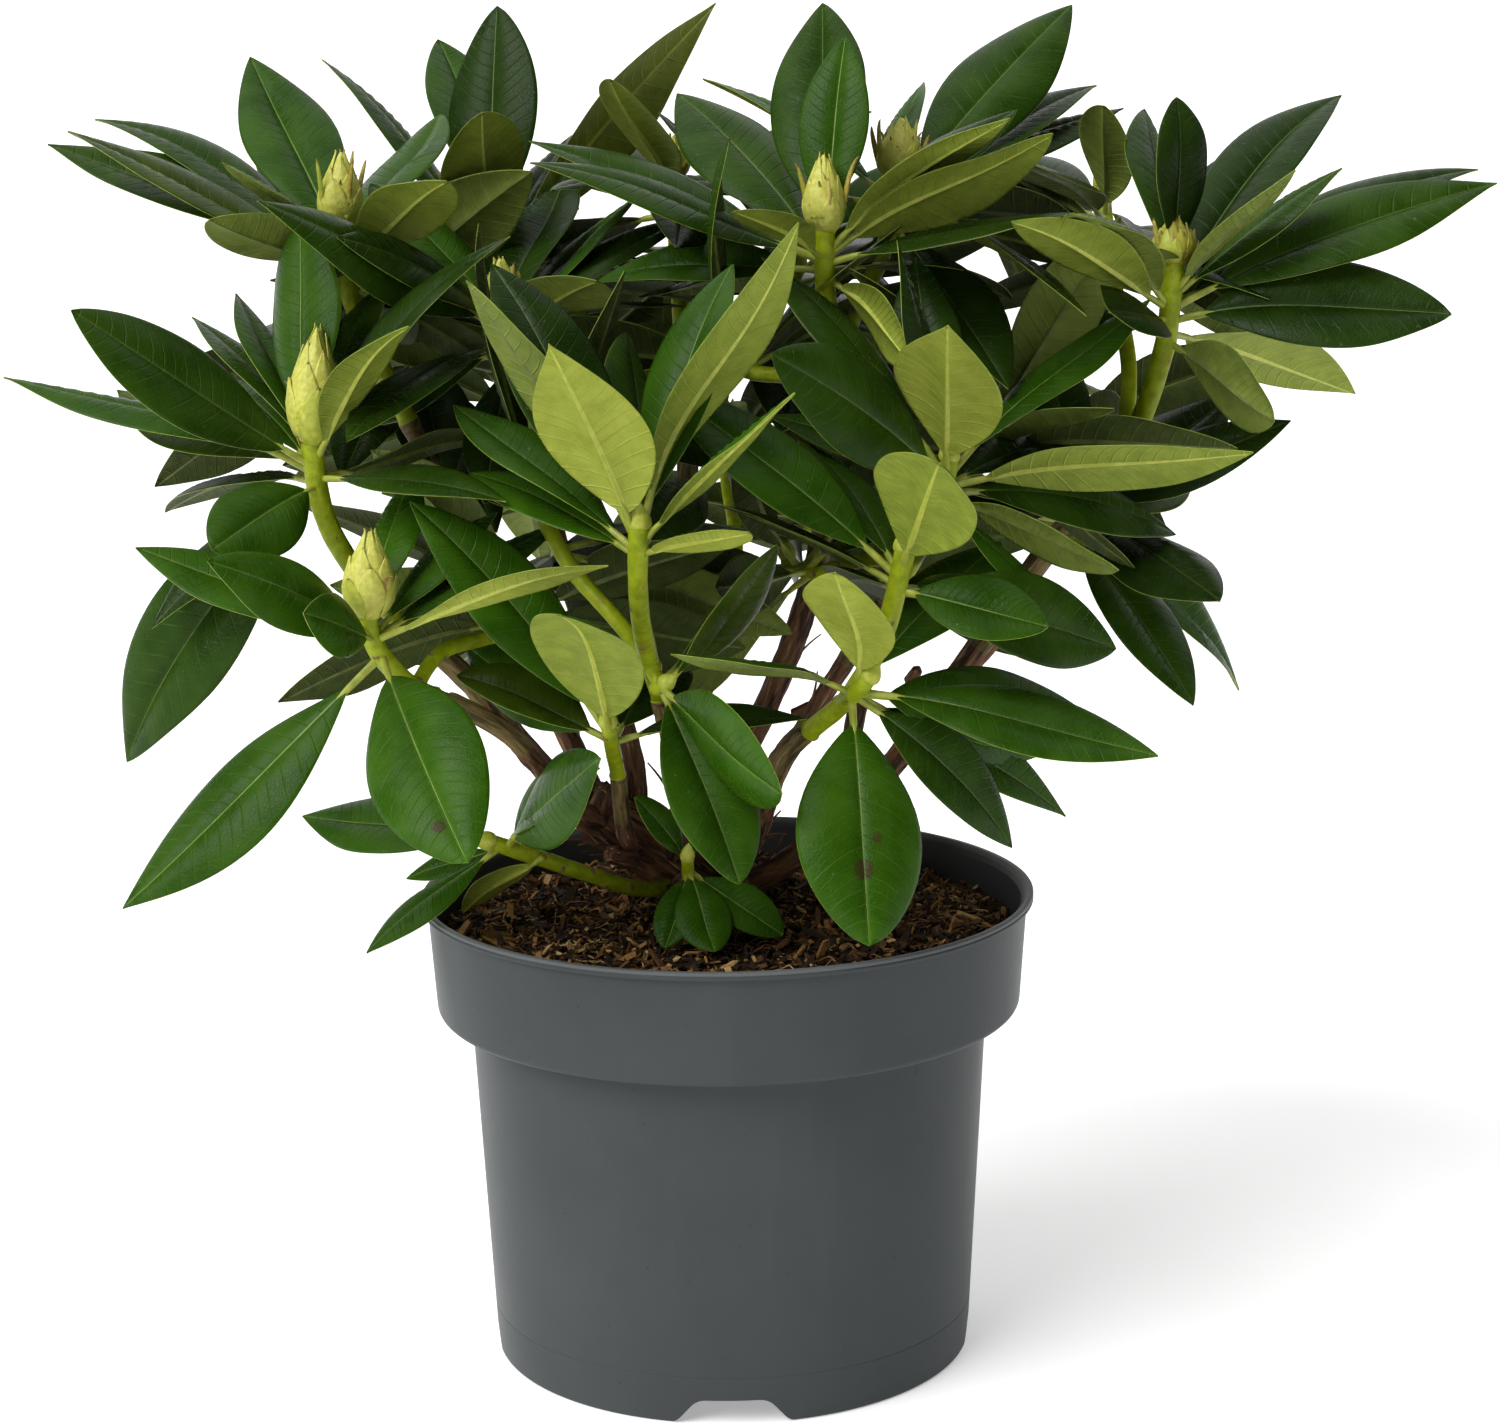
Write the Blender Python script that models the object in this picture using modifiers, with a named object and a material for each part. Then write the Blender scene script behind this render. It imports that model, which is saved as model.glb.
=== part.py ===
"""A potted rhododendron: a five litre nursery pot, its potting mix, and a half metre evergreen shrub.

Units are metres with +Z up. The origin is the centre of the pot's flat underside, and the shrub is
seen from the front along +Y. Tables give millimetres, which the function mm turns into metres.
"""
import math
import random

import bmesh
import bpy
from mathutils import Matrix, Vector
from mathutils.bvhtree import BVHTree

# Pot, in metres
RIM_RADIUS = 0.115
POT_HEIGHT = 0.1767
WALL = 0.0022
LIP_HEIGHT = 0.0032
BAND_TOP_RADIUS = 0.1125
BAND_FOOT_RADIUS = 0.1098
BAND_HEIGHT = 0.0434
BODY_TOP_RADIUS = 0.0974
BASE_RADIUS = 0.0904
FLOOR_THICKNESS = 0.011
POT_STEPS = 32
NOTCH_COUNT = 4
NOTCH_HEIGHT = 0.0094
NOTCH_WIDTH_LOW = 0.041
NOTCH_WIDTH_HIGH = 0.025
NOTCH_DEPTH = 0.030

# Potting mix, in metres
SOIL_TOP = 0.166
SOIL_EDGE = 0.1615
SOIL_FLAT_RADIUS = 0.045
SOIL_STEPS = 24
SOIL_SLACK = 0.0008
SOIL_KNEE_RADIUS = 0.080
SOIL_KNEE_DROP = 0.0015

# Gap that stays between pieces that touch, in metres
SEAT_GAP = 0.0003

# Edges that a union leaves shorter than these are closed up, in metres, the first that works
HAIRLINES = (0.00002, 0.00001, 0.000004, 0.000001)

# Leaf shape: shares of the leaf's length or of half its width, and lengths in metres
PETIOLE_SHARE = 0.13
PETIOLE_RADIUS = 0.0013
LEAF_THICKNESS_SHARE = 0.016
MARGIN_DROP = 0.16
LEAF_STATIONS = (0.0, 0.14, 0.40, 0.76, 1.0)
LEAF_CLEARANCE = 0.0008
BUD_NARROWING = 0.35
BUD_SINK = 0.003
BLADE_SKEW = 0.9
BLADE_FULLNESS = 0.72

# Rule for the leaves that no single leaf row gives
GOLDEN_TURN = math.radians(137.5)
FIRST_NODE = 0.002
FULL_TILT = math.radians(120)
LEAF_SPREAD = math.radians(27)
RULE_TILTS = (math.radians(38), math.radians(98))
RULE_LENGTHS = (0.084, 0.112)
RULE_SLIMNESS = (0.29, 0.36)
LEAF_BENDS = (math.radians(8), math.radians(34))
RULE_ROLL = math.radians(32)
RULE_TRIES = 9
HERO_TRIES = 7
NUDGE = math.radians(6)

# Space of the crown that leaves placed by the rule stay in, in metres
CROWN_CENTRE = Vector((0.008, 0.030, 0.318))
CROWN_REACH = Vector((0.235, 0.225, 0.165))
SKIRT_HEIGHT = 0.238
FRONT_LIMIT = -0.078
RIGHT_LIMIT = 0.178
RIGHT_HEIGHT = 0.345

# Room that each leaf leaves above the potting mix and the rim, and beside the rim, in metres
SOIL_ROOM = 0.004
RIM_ROOM = 0.009

# The trunk, in millimetres: where its path starts and ends and the way it points there, its radius at
# both ends, and how much wider it flares at its foot.
TRUNK = {"foot": (4, 18, 152), "foot_way": (-0.3, 0, 1), "tip": (-53, 13, 208), "tip_way": (-0.6, -0.1, 0.7),
         "radii": (12, 8.5), "flare": 6}

# Boughs. Each row, in millimetres: parent, share of the parent's length where it starts, direction
# it leaves in, tip, direction at the tip, radius at its start and at its tip.
BOUGHS = {
    "bough_left_low": ("trunk", 0.82, (-0.6, -0.8, 0.3), (-96, -77, 265), (-0.75, -0.35, 0.35), 4.0, 3.2),
    "bough_left": ("trunk", 0.97, (-0.8, -0.2, 0.6), (-108, -40, 281), (-0.7, -0.1, 0.6), 4.4, 3.7),
    "bough_left_back": ("trunk", 0.92, (-0.2, 0.9, 0.4), (-112, 12, 345), (-0.35, 0.0, 0.9), 4.2, 3.4),
    "bough_back_left": ("trunk", 0.72, (0.2, 0.7, 0.8), (-66, 44, 318), (-0.1, 0.1, 1.0), 4.4, 3.6),
    "bough_front": ("trunk", 0.50, (0.2, -0.9, 0.6), (-22, -62, 262), (-0.15, -0.55, 0.7), 4.2, 3.4),
    "bough_centre_low": ("trunk", 0.68, (-0.2, -1.0, 0.1), (-38, -55, 232), (-0.05, -0.6, 0.75), 3.2, 2.8),
    "bough_front_right": ("trunk", 0.30, (0.8, -0.6, 0.5), (30, -62, 250), (0.5, -0.7, 0.45), 4.6, 3.6),
    "bough_inner_right": ("bough_front_right", 0.62, (0.5, 0.5, 0.8), (58, -34, 290), (0.5, -0.3, 0.8),
                          3.4, 3.0),
    "bough_top": ("trunk", 0.46, (0.6, 0.0, 1.0), (40, 4, 345), (0.0, -0.15, 1.0), 4.8, 3.8),
    "bough_right_far": ("trunk", 0.20, (0.9, 0.3, 0.3), (136, 6, 322), (0.6, -0.3, 0.75), 5.0, 3.8),
    "bough_right_low": ("bough_right_far", 0.50, (0.5, 0.8, 0.5), (116, 42, 284), (0.4, 0.2, 0.9), 3.4, 3.0),
    "bough_back": ("trunk", 0.48, (0.1, 1.0, 0.3), (-14, 84, 330), (0.0, 0.1, 1.0), 4.8, 3.6),
    "bough_back_right": ("bough_right_far", 0.24, (0.2, 0.9, 0.4), (70, 104, 312), (0.2, 0.4, 0.9), 3.8, 3.2),
    "bough_rear_left": ("bough_back_left", 0.45, (-0.6, 0.8, 0.5), (-104, 92, 318), (-0.4, 0.4, 0.8),
                        3.2, 3.0),
    "bough_rear_low": ("bough_back", 0.36, (0.3, 0.9, 0.5), (4, 132, 276), (0.1, 0.7, 0.7), 3.4, 3.0),
}
LIMB_STEPS = 5
TWIG_STEPS = 3
END_STRAIGHT = 0.004
FORK_SHARE = 0.22
FORK_SLIMNESS = 0.8
ROUNDNESS = {"trunk": 3, "bough": 1}

# Shoots. Each names its mass and what carries it, then in millimetres its tip, the way it points, its
# radius at the tip, its bud's length and radius, how far its leaves run down from the tip, how many
# leaves the rule adds, and the leaves of its own: clock angle in the front view (0 right, 90 up),
# lean towards the front (degrees), length, width, and the share of its width that shows from the
# front, which is below zero where its back shows.
SHOOTS = [
    ("mass_left_low", "bough_left_low", (-121, -90, 299), (0.05, 0, 1), 3.6, (30, 9), 14, 0, [
        (302, 50, 101, 43, 1.0), (223, 8, 125, 37, 0.7), (143, 40, 79, 28, 0.6), (131, 64, 59, 22, 0.6),
        (159, -8, 90, 29, 0.5), (78, -46, 70, 28, 0.7), (42, -42, 73, 24, 0.4), (21, 24, 97, 26, -0.4),
        (30, -30, 85, 26, 0.4)]),
    ("mass_left", "bough_left", (-143, -50, 354), (0.08, 0, 1), 3.9, (41, 9.6), 16, 2, [
        (143, 15, 101, 37, 0.6), (164, -14, 124, 26, 0.25), (163, -36, 104, 34, 0.5), (206, 50, 56, 31, 0.9),
        (233, -6, 128, 43, 0.9), (150, -55, 98, 28, 0.4), (138, -46, 104, 24, 0.3), (124, -50, 104, 26, 0.3),
        (93, -16, 83, 37, 0.75), (75, -46, 85, 32, 0.5), (53, 38, 85, 27, -0.5), (357, 28, 79, 24, 0.3)]),
    ("mass_left_top", "bough_left_back", (-138, 10, 425), (0.06, 0, 1), 3.6, (28, 8), 25, 2, [
        (120, -42, 113, 36, 0.9), (133, -48, 91, 20, 0.5), (151, -22, 121, 30, 0.3), (152, 6, 110, 30, 0.3),
        (157, -8, 121, 34, 0.45), (160, -26, 106, 30, 0.4), (146, 54, 68, 32, -0.7), (132, 42, 72, 24, -0.4),
        (59, -50, 93, 34, 0.6), (38, 50, 87, 31, -0.75)]),
    ("mass_left_top", "bough_left_back", (-148, 66, 384), (-0.2, 0.3, 1), 3.0, (0, 0), 14, 5, []),
    ("mass_back_left", "bough_back_left", (-78, -2, 395), (-0.05, -0.1, 1), 3.4, (20, 6.5), 16, 2, [
        (144, 30, 112, 31, 0.55), (137, -20, 77, 32, 0.5), (156, 38, 83, 28, 0.3), (34, 52, 69, 35, -0.6),
        (71, -54, 96, 37, 0.7), (45, -48, 100, 28, 0.3), (31, -36, 94, 27, 0.4)]),
    ("mass_back_left", "bough_back_left", (-86, 72, 412), (0.0, 0.1, 1), 3.2, (0, 0), 14, 3, [
        (107, -38, 113, 38, 0.8), (89, -24, 100, 40, 0.9), (132, -28, 120, 24, 0.3), (90, 42, 81, 37, -0.8),
        (60, -40, 72, 28, 0.5), (49, -20, 138, 36, -0.65)]),
    ("mass_front", "bough_front", (-27, -110, 331), (0.08, 0, 1), 3.5, (0, 0), 14, 2, [
        (109, 35, 96, 41, -0.9), (123, 13, 107, 35, -0.6), (63, 10, 122, 33, -0.6), (47, 28, 87, 22, -0.4),
        (18, 38, 50, 24, -0.5), (146, -36, 98, 31, 0.35), (94, -45, 95, 33, 0.55), (70, -40, 104, 37, 0.6),
        (160, -40, 84, 30, 0.4)]),
    ("mass_front", "bough_front", (-20, -84, 272), (0.5, -0.3, 0.4), 2.6, (0, 0), 8, 0, [
        (328, 50, 77, 40, 0.75), (293, 24, 79, 34, 0.8), (51, 10, 68, 24, 0.6), (43, -22, 58, 26, 0.5)]),
    ("mass_front", "bough_front", (-62, -52, 326), (-0.3, 0.3, 1), 3.0, (0, 0), 14, 5, []),
    ("mass_centre_low", "bough_centre_low", (-40, -80, 257), (-0.1, -0.3, 1), 2.8, (0, 0), 10, 2, [
        (102, 52, 95, 39, -0.9), (164, -14, 60, 26, 0.5)]),
    ("mass_left_low", "bough_left_low", (-66, -34, 296), (0.2, 0.3, 1), 2.8, (0, 0), 14, 6, []),
    ("mass_front_right", "bough_front_right", (62, -110, 322), (0.15, 0, 1), 3.4, (0, 0), 16, 2, [
        (78, 54, 82, 39, -0.9), (341, -22, 90, 34, 0.8), (128, -50, 80, 30, 0.5), (348, 18, 54, 28, 0.7)]),
    ("mass_front_right", "bough_front_right", (50, -98, 276), (0.4, -0.1, 0.6), 3.2, (0, 0), 12, 1, [
        (273, 34, 92, 45, 0.95), (350, 15, 106, 35, 0.45), (337, -34, 98, 33, 0.8), (100, 46, 74, 33, -0.8),
        (161, 26, 73, 24, -0.4), (38, -42, 92, 31, 0.65), (345, -38, 116, 32, 0.75),
        (314, -14, 84, 27, 0.75), (324, -24, 108, 24, 0.65)]),
    ("mass_inner_right", "bough_inner_right", (80, -60, 346), (0.1, 0, 1), 3.2, (0, 0), 14, 3, [
        (93, 48, 90, 41, -0.85), (128, -26, 107, 30, 0.4), (140, 32, 94, 39, 0.75), (37, -28, 110, 26, 0.4),
        (8, 14, 109, 35, -0.65), (340, 30, 72, 28, -0.55)]),
    ("mass_inner_right", "bough_inner_right", (98, 2, 350), (0.2, 0.3, 1), 3.0, (0, 0), 14, 5, []),
    ("mass_inner_right", "bough_inner_right", (24, -8, 304), (-0.3, 0.2, 1), 2.8, (0, 0), 14, 6, []),
    ("mass_top", "bough_top", (38, -20, 423), (0.0, 0, 1), 3.8, (28, 7.5), 16, 2, [
        (89, -37, 108, 39, 0.9), (83, -20, 78, 27, 0.9), (130, -40, 105, 37, 0.75), (116, -50, 84, 27, 0.6),
        (158, -12, 117, 28, 0.4), (160, 12, 112, 30, 0.35), (147, 48, 57, 23, -0.6), (38, 26, 90, 29, -0.55),
        (32, 12, 93, 36, -0.65), (311, 42, 54, 25, -0.6)]),
    ("mass_top", "bough_top", (67, 30, 438), (0.05, 0, 1), 3.6, (24, 8.5), 14, 2, [
        (45, -30, 115, 37, 0.85), (72, -54, 76, 24, 0.5), (27, -36, 113, 30, 0.4), (20, -32, 115, 30, 0.4),
        (147, -30, 98, 24, 0.3)]),
    ("mass_top", "bough_top", (2, 6, 378), (-0.3, 0.1, 1), 3.0, (0, 0), 14, 5, []),
    ("mass_back_top", "bough_back", (-17, 82, 438), (0.0, 0, 1), 3.4, (17, 6), 14, 5, [
        (115, 50, 80, 32, -0.6), (145, -50, 90, 31, 0.5)]),
    ("mass_back_top", "bough_back", (30, 92, 402), (0.3, 0.1, 1), 3.0, (0, 0), 14, 5, []),
    ("mass_right_top", "bough_right_far", (164, -10, 410), (0.02, 0, 1), 3.9, (17, 8), 28, 0, [
        (93, -42, 87, 31, 0.65), (89, -6, 62, 26, 0.8), (61, -42, 102, 33, 0.8), (44, -36, 127, 33, 0.65),
        (51, 32, 71, 24, -0.5), (38, 6, 76, 21, 0.3), (24, -14, 73, 24, 0.45), (20, -5, 129, 35, 0.65),
        (22, -20, 135, 30, 0.4), (2, 12, 101, 39, 0.75), (3, -34, 124, 32, 0.4), (339, -44, 127, 37, -0.6),
        (324, 40, 56, 35, -0.6), (165, 58, 50, 31, 0.4), (138, 48, 86, 31, -0.6), (146, 38, 92, 31, -0.6),
        (188, -46, 62, 28, 0.4)]),
    ("mass_right_top", "bough_right_far", (146, 58, 428), (0.0, 0.1, 1), 3.0, (10, 3), 14, 5, [
        (96, 40, 57, 27, -0.6), (44, 22, 86, 29, -0.5)]),
    ("mass_right_low", "bough_right_low", (135, 32, 322), (0.15, 0, 1), 3.2, (0, 0), 16, 5, [
        (10, -50, 82, 33, 0.7), (331, -44, 106, 22, 0.3), (316, -22, 113, 32, 0.5), (342, 20, 40, 22, 0.4)]),
    ("mass_rear_right", "bough_back_right", (84, 128, 384), (0.1, 0.2, 1), 3.4, (22, 7), 16, 7, []),
    ("mass_rear_right", "bough_back_right", (142, 132, 338), (0.4, 0.4, 0.8), 3.0, (0, 0), 14, 7, []),
    ("mass_rear_left", "bough_rear_left", (-124, 110, 384), (-0.1, 0.1, 1), 3.4, (20, 6.5), 16, 7, []),
    ("mass_rear_left", "bough_rear_left", (-84, 150, 348), (-0.2, 0.5, 0.8), 3.0, (0, 0), 14, 7, []),
    ("mass_rear_low", "bough_rear_low", (0, 172, 326), (0.0, 0.5, 0.9), 3.2, (18, 6), 16, 7, []),
    ("mass_rear_low", "bough_rear_low", (56, 158, 296), (0.5, 0.6, 0.6), 2.8, (0, 0), 14, 7, []),
]

# Low sprouts that grow from the trunk itself: share of the trunk's length where it starts, the
# direction it leaves in, then its tip, the way that points, its radius and its leaves, as for a shoot.
SPROUTS = [
    ("mass_sprout_front", 0.40, (0.3, -0.9, 0.1), (-14, -46, 200), (0.1, -0.4, 0.9), 2.2, [
        (253, 30, 33, 16, 0.9), (286, 36, 37, 21, 0.9), (322, 20, 42, 18, 0.8), (124, 14, 34, 15, 0.6),
        (60, 10, 28, 13, 0.6)]),
    ("mass_sprout_left", 0.36, (-0.5, -1.0, -0.2), (-86, -34, 204), (-0.8, -0.5, 0.35), 3.0, [
        (47, 30, 88, 32, 0.6), (44, 20, 66, 25, 0.4), (179, -30, 93, 29, 0.6), (223, 20, 64, 20, 0.4),
        (200, -10, 40, 14, 0.5)]),
]
SPROUT_MASSES = [row[0] for row in SPROUTS]
SPROUT_RUN = 0.008

LEAF_COLOUR = (0.030, 0.078, 0.022, 1)
BARK_COLOUR = (0.120, 0.055, 0.030, 1)
POT_COLOUR = (0.085, 0.098, 0.102, 1)
SOIL_COLOUR = (0.035, 0.018, 0.010, 1)


def mm(values):
    """A vector in metres from a row in millimetres."""
    return Vector(values) * 0.001


def material(name, colour, roughness):
    made = bpy.data.materials.new(name)
    made.use_nodes = True
    shader = made.node_tree.nodes["Principled BSDF"]
    shader.inputs["Base Color"].default_value = colour
    shader.inputs["Roughness"].default_value = roughness
    shader.inputs["Metallic"].default_value = 0.0
    return made


def new_object(name, mesh, collection, colour=None, roughness=0.5):
    made = bpy.data.objects.new(name, mesh)
    collection.objects.link(made)
    if colour:
        made.data.materials.append(material(name + "_finish", colour, roughness))
    return made


def mesh_from(name, points, faces):
    mesh = bpy.data.meshes.new(name)
    mesh.from_pydata([tuple(point) for point in points], [], faces)
    mesh.update()
    return mesh


def turned(name, profile, steps, collection, colour, roughness):
    """A closed turned shape: a profile of (radius, height) with a Screw modifier."""
    mesh = bpy.data.meshes.new(name)
    edges = [(index, index + 1) for index in range(len(profile) - 1)]
    mesh.from_pydata([(radius, 0, height) for radius, height in profile], edges, [])
    made = new_object(name, mesh, collection, colour, roughness)
    screw = made.modifiers.new("turn", "SCREW")
    screw.angle = math.tau
    screw.steps = steps
    screw.render_steps = steps
    screw.use_merge_vertices = True
    screw.merge_threshold = 0.00005
    screw.use_smooth_shade = True
    return made


def inner_radius(height):
    """The pot's inner radius at a height above its underside."""
    ledge = POT_HEIGHT - BAND_HEIGHT + WALL
    if height < ledge:
        return BASE_RADIUS - WALL + (BODY_TOP_RADIUS - BASE_RADIUS) * height / ledge
    share = (height - ledge) / (POT_HEIGHT - LIP_HEIGHT - ledge)
    return BAND_FOOT_RADIUS - WALL + (BAND_TOP_RADIUS - BAND_FOOT_RADIUS) * share


def make_pot(parts, cutters):
    step = POT_HEIGHT - BAND_HEIGHT
    ledge = step + WALL
    lip_foot = POT_HEIGHT - LIP_HEIGHT
    edge = 0.0009
    profile = [
        (0, FLOOR_THICKNESS), (inner_radius(FLOOR_THICKNESS), FLOOR_THICKNESS),
        (inner_radius(ledge - 1e-6), ledge), (inner_radius(ledge), ledge),
        (inner_radius(lip_foot), lip_foot), (RIM_RADIUS - WALL - edge, POT_HEIGHT - edge / 2),
        (RIM_RADIUS - WALL, POT_HEIGHT), (RIM_RADIUS - edge, POT_HEIGHT), (RIM_RADIUS, POT_HEIGHT - edge),
        (RIM_RADIUS, lip_foot + edge), (RIM_RADIUS - edge, lip_foot), (BAND_TOP_RADIUS, lip_foot - edge / 2),
        (BAND_FOOT_RADIUS, step + 3 * edge), (BAND_FOOT_RADIUS - edge, step + edge),
        (BAND_FOOT_RADIUS - 3 * edge, step), (BODY_TOP_RADIUS, step),
        (BASE_RADIUS, edge), (BASE_RADIUS - edge, 0), (0, 0)]
    pot = turned("pot", profile, POT_STEPS, parts, POT_COLOUR, 0.45)
    for index in range(NOTCH_COUNT):
        cut = pot.modifiers.new("notch", "BOOLEAN")
        cut.operation = "DIFFERENCE"
        cut.object = notch_cutter(index, cutters)
    return pot


def notch_cutter(index, cutters):
    """A block with sloping sides that cuts one foot notch through the wall and into the floor."""
    shape = bmesh.new()
    bmesh.ops.create_cube(shape, size=1.0)
    for vertex in shape.verts:
        high = vertex.co.z > 0
        width = NOTCH_WIDTH_HIGH if high else NOTCH_WIDTH_LOW
        vertex.co.x *= width
        vertex.co.y = -(BASE_RADIUS + 0.006) if vertex.co.y < 0 else -(BASE_RADIUS - NOTCH_DEPTH)
        vertex.co.z = NOTCH_HEIGHT if high else -(NOTCH_HEIGHT / 8)
    bmesh.ops.bevel(
        shape, geom=[edge for edge in shape.edges if all(v.co.z > NOTCH_HEIGHT / 2 for v in edge.verts)
                     and abs(edge.verts[0].co.y - edge.verts[1].co.y) > NOTCH_DEPTH / 2],
        offset=0.003, segments=2, affect="EDGES")
    mesh = bpy.data.meshes.new("notch_cutter")
    shape.to_mesh(mesh)
    shape.free()
    cutter = new_object("notch_cutter_%d" % index, mesh, cutters)
    cutter.rotation_euler.z = math.tau * index / NOTCH_COUNT
    return cutter


def make_potting_mix(parts):
    ledge = POT_HEIGHT - BAND_HEIGHT + WALL + SEAT_GAP
    floor = FLOOR_THICKNESS + SEAT_GAP
    slack = SOIL_SLACK
    profile = [
        (0, SOIL_TOP), (SOIL_FLAT_RADIUS, SOIL_TOP), (SOIL_KNEE_RADIUS, SOIL_TOP - SOIL_KNEE_DROP),
        (inner_radius(SOIL_EDGE) - 0.004, SOIL_EDGE + 0.0008), (inner_radius(SOIL_EDGE) - slack, SOIL_EDGE),
        (inner_radius(ledge) - slack, ledge), (inner_radius(ledge - WALL) - slack, ledge),
        (inner_radius(floor) - slack, floor), (0, floor)]
    return turned("potting_mix", profile, SOIL_STEPS, parts, SOIL_COLOUR, 0.95)


def bezier(start, leave, arrive, tip, count):
    """Points along a cubic from start to tip that leaves and arrives in the given directions."""
    pull = (tip - start).length * 0.36
    first = start + leave.normalized() * pull
    second = tip - arrive.normalized() * pull
    points = []
    for index in range(count + 1):
        t = index / count
        s = 1 - t
        points.append(start * s ** 3 + first * (3 * s * s * t) + second * (3 * s * t * t) + tip * t ** 3)
    return points


def with_straight_ends(points, head, tail):
    """The points with a short straight run added inside each end, so that the end faces lie square."""
    first = points[0] + head.normalized() * END_STRAIGHT
    last = points[-1] - tail.normalized() * END_STRAIGHT
    return [points[0], first] + points[1:-1] + [last, points[-1]]


def along(points, share):
    """The place and direction at a share of a path's length."""
    lengths = [(b - a).length for a, b in zip(points, points[1:])]
    left = share * sum(lengths)
    for a, b, length in zip(points, points[1:], lengths):
        if left <= length:
            return a.lerp(b, left / length), (b - a).normalized()
        left -= length
    return points[-1].copy(), (points[-1] - points[-2]).normalized()


def tube_mesh(name, points, radii, roundness=2):
    """A tapering round limb: a curve with a bevel and filled caps, made into a mesh."""
    curve = bpy.data.curves.new(name, "CURVE")
    curve.dimensions = "3D"
    curve.bevel_depth = 1.0
    curve.bevel_resolution = roundness
    curve.use_fill_caps = True
    spline = curve.splines.new("POLY")
    spline.points.add(len(points) - 1)
    for slot, point, radius in zip(spline.points, points, radii):
        slot.co = (*point, 1)
        slot.radius = radius
    holder = bpy.data.objects.new(name, curve)
    bpy.context.scene.collection.objects.link(holder)
    bpy.context.view_layer.update()
    mesh = bpy.data.meshes.new_from_object(holder.evaluated_get(bpy.context.evaluated_depsgraph_get()))
    mesh.name = name
    bpy.data.objects.remove(holder)
    bpy.data.curves.remove(curve)
    shape = bmesh.new()
    shape.from_mesh(mesh)
    bmesh.ops.remove_doubles(shape, verts=shape.verts, dist=0.00001)
    bmesh.ops.recalc_face_normals(shape, faces=shape.faces)
    shape.to_mesh(mesh)
    shape.free()
    mesh.shade_smooth()
    mesh.set_sharp_from_angle(angle=math.radians(50))
    return mesh


def taper(first, last, count, flare=0.0):
    """Radii in metres that shrink along a limb, with an optional flare at its foot."""
    radii = []
    for index in range(count):
        t = index / (count - 1)
        radii.append((first + (last - first) * t + flare * (1 - t) ** 5) * 0.001)
    return radii


def plan_limbs():
    """The path and radii of the trunk and of every bough."""
    path = bezier(mm(TRUNK["foot"]), Vector(TRUNK["foot_way"]), Vector(TRUNK["tip_way"]), mm(TRUNK["tip"]), 9)
    limbs = {"trunk": (path, taper(*TRUNK["radii"], len(path), TRUNK["flare"]))}
    for name, (parent, share, leave, tip, arrive, first, last) in BOUGHS.items():
        start, _ = along(limbs[parent][0], share)
        path = bezier(start, Vector(leave), Vector(arrive), mm(tip), LIMB_STEPS)
        path = with_straight_ends(path, Vector(leave), Vector(arrive))
        limbs[name] = (path, taper(first, last, len(path)))
    return limbs


def cut_flat(mesh, height):
    """Take away what lies below a height and close the cut with one flat face."""
    shape = bmesh.new()
    shape.from_mesh(mesh)
    geometry = shape.verts[:] + shape.edges[:] + shape.faces[:]
    cut = bmesh.ops.bisect_plane(shape, geom=geometry, plane_co=(0, 0, height), plane_no=(0, 0, 1),
                                 clear_inner=True)
    rim = [item for item in cut["geom_cut"] if isinstance(item, bmesh.types.BMEdge)]
    bmesh.ops.edgeloop_fill(shape, edges=rim)
    bmesh.ops.recalc_face_normals(shape, faces=shape.faces)
    shape.to_mesh(mesh)
    shape.free()


def grown(points, extra):
    """A path made longer at both ends by a little."""
    head = (points[0] - points[1]).normalized() * extra
    tail = (points[-1] - points[-2]).normalized() * extra
    return [points[0] + head] + points[1:-1] + [points[-1] + tail]


def make_limbs(limbs, parts, cutters):
    """The trunk and boughs as solids, each bough hollowed at its start to sit on its parent."""
    seats = {}
    made = {}
    for name, (path, radii) in limbs.items():
        mesh = tube_mesh(name, path, radii, ROUNDNESS["trunk" if name == "trunk" else "bough"])
        if name == "trunk":
            cut_flat(mesh, SOIL_TOP + SEAT_GAP)
        made[name] = new_object(name, mesh, parts, BARK_COLOUR, 0.85)
        if name == "trunk":
            continue
        parent = BOUGHS[name][0]
        if parent not in seats:
            wide = [radius + SEAT_GAP for radius in limbs[parent][1]]
            roundness = ROUNDNESS["trunk" if parent == "trunk" else "bough"]
            seat = tube_mesh(parent + "_seat", grown(limbs[parent][0], SEAT_GAP), wide, roundness)
            seats[parent] = new_object(parent + "_seat", seat, cutters)
        cut = made[name].modifiers.new("seat", "BOOLEAN")
        cut.operation = "DIFFERENCE"
        cut.object = seats[parent]
    return made


def leaf_way(clock, lean):
    """The direction of a leaf from its clock angle and its lean towards the front, in degrees."""
    turn = math.radians(clock)
    tip = math.radians(lean)
    return Vector((math.cos(turn) * math.cos(tip), -math.sin(tip), math.sin(turn) * math.cos(tip)))


def leaf_frame(way, axis, roll=0.0, shown=None):
    """The leaf's own directions: along it, across it, and out of its upper side.

    The upper side faces the shoot's axis, so an upright leaf shows its back to the outside. Where the
    share of the width that shows from the front is given, the leaf is rolled to that instead, by the
    shorter way.
    """
    front = (Vector((0, -1, 0)) + way * way.y).normalized()
    upper = axis - way * axis.dot(way)
    if upper.length < 0.05:
        upper = front.copy()
    upper.normalize()
    if shown is not None:
        edge = way.cross(front)
        turn = math.acos(shown) * (1 if upper.dot(edge) > 0 else -1)
        upper = front * math.cos(turn) + edge * math.sin(turn)
    upper.rotate(Matrix.Rotation(roll, 3, way))
    return way, way.cross(upper).normalized(), upper


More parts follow.
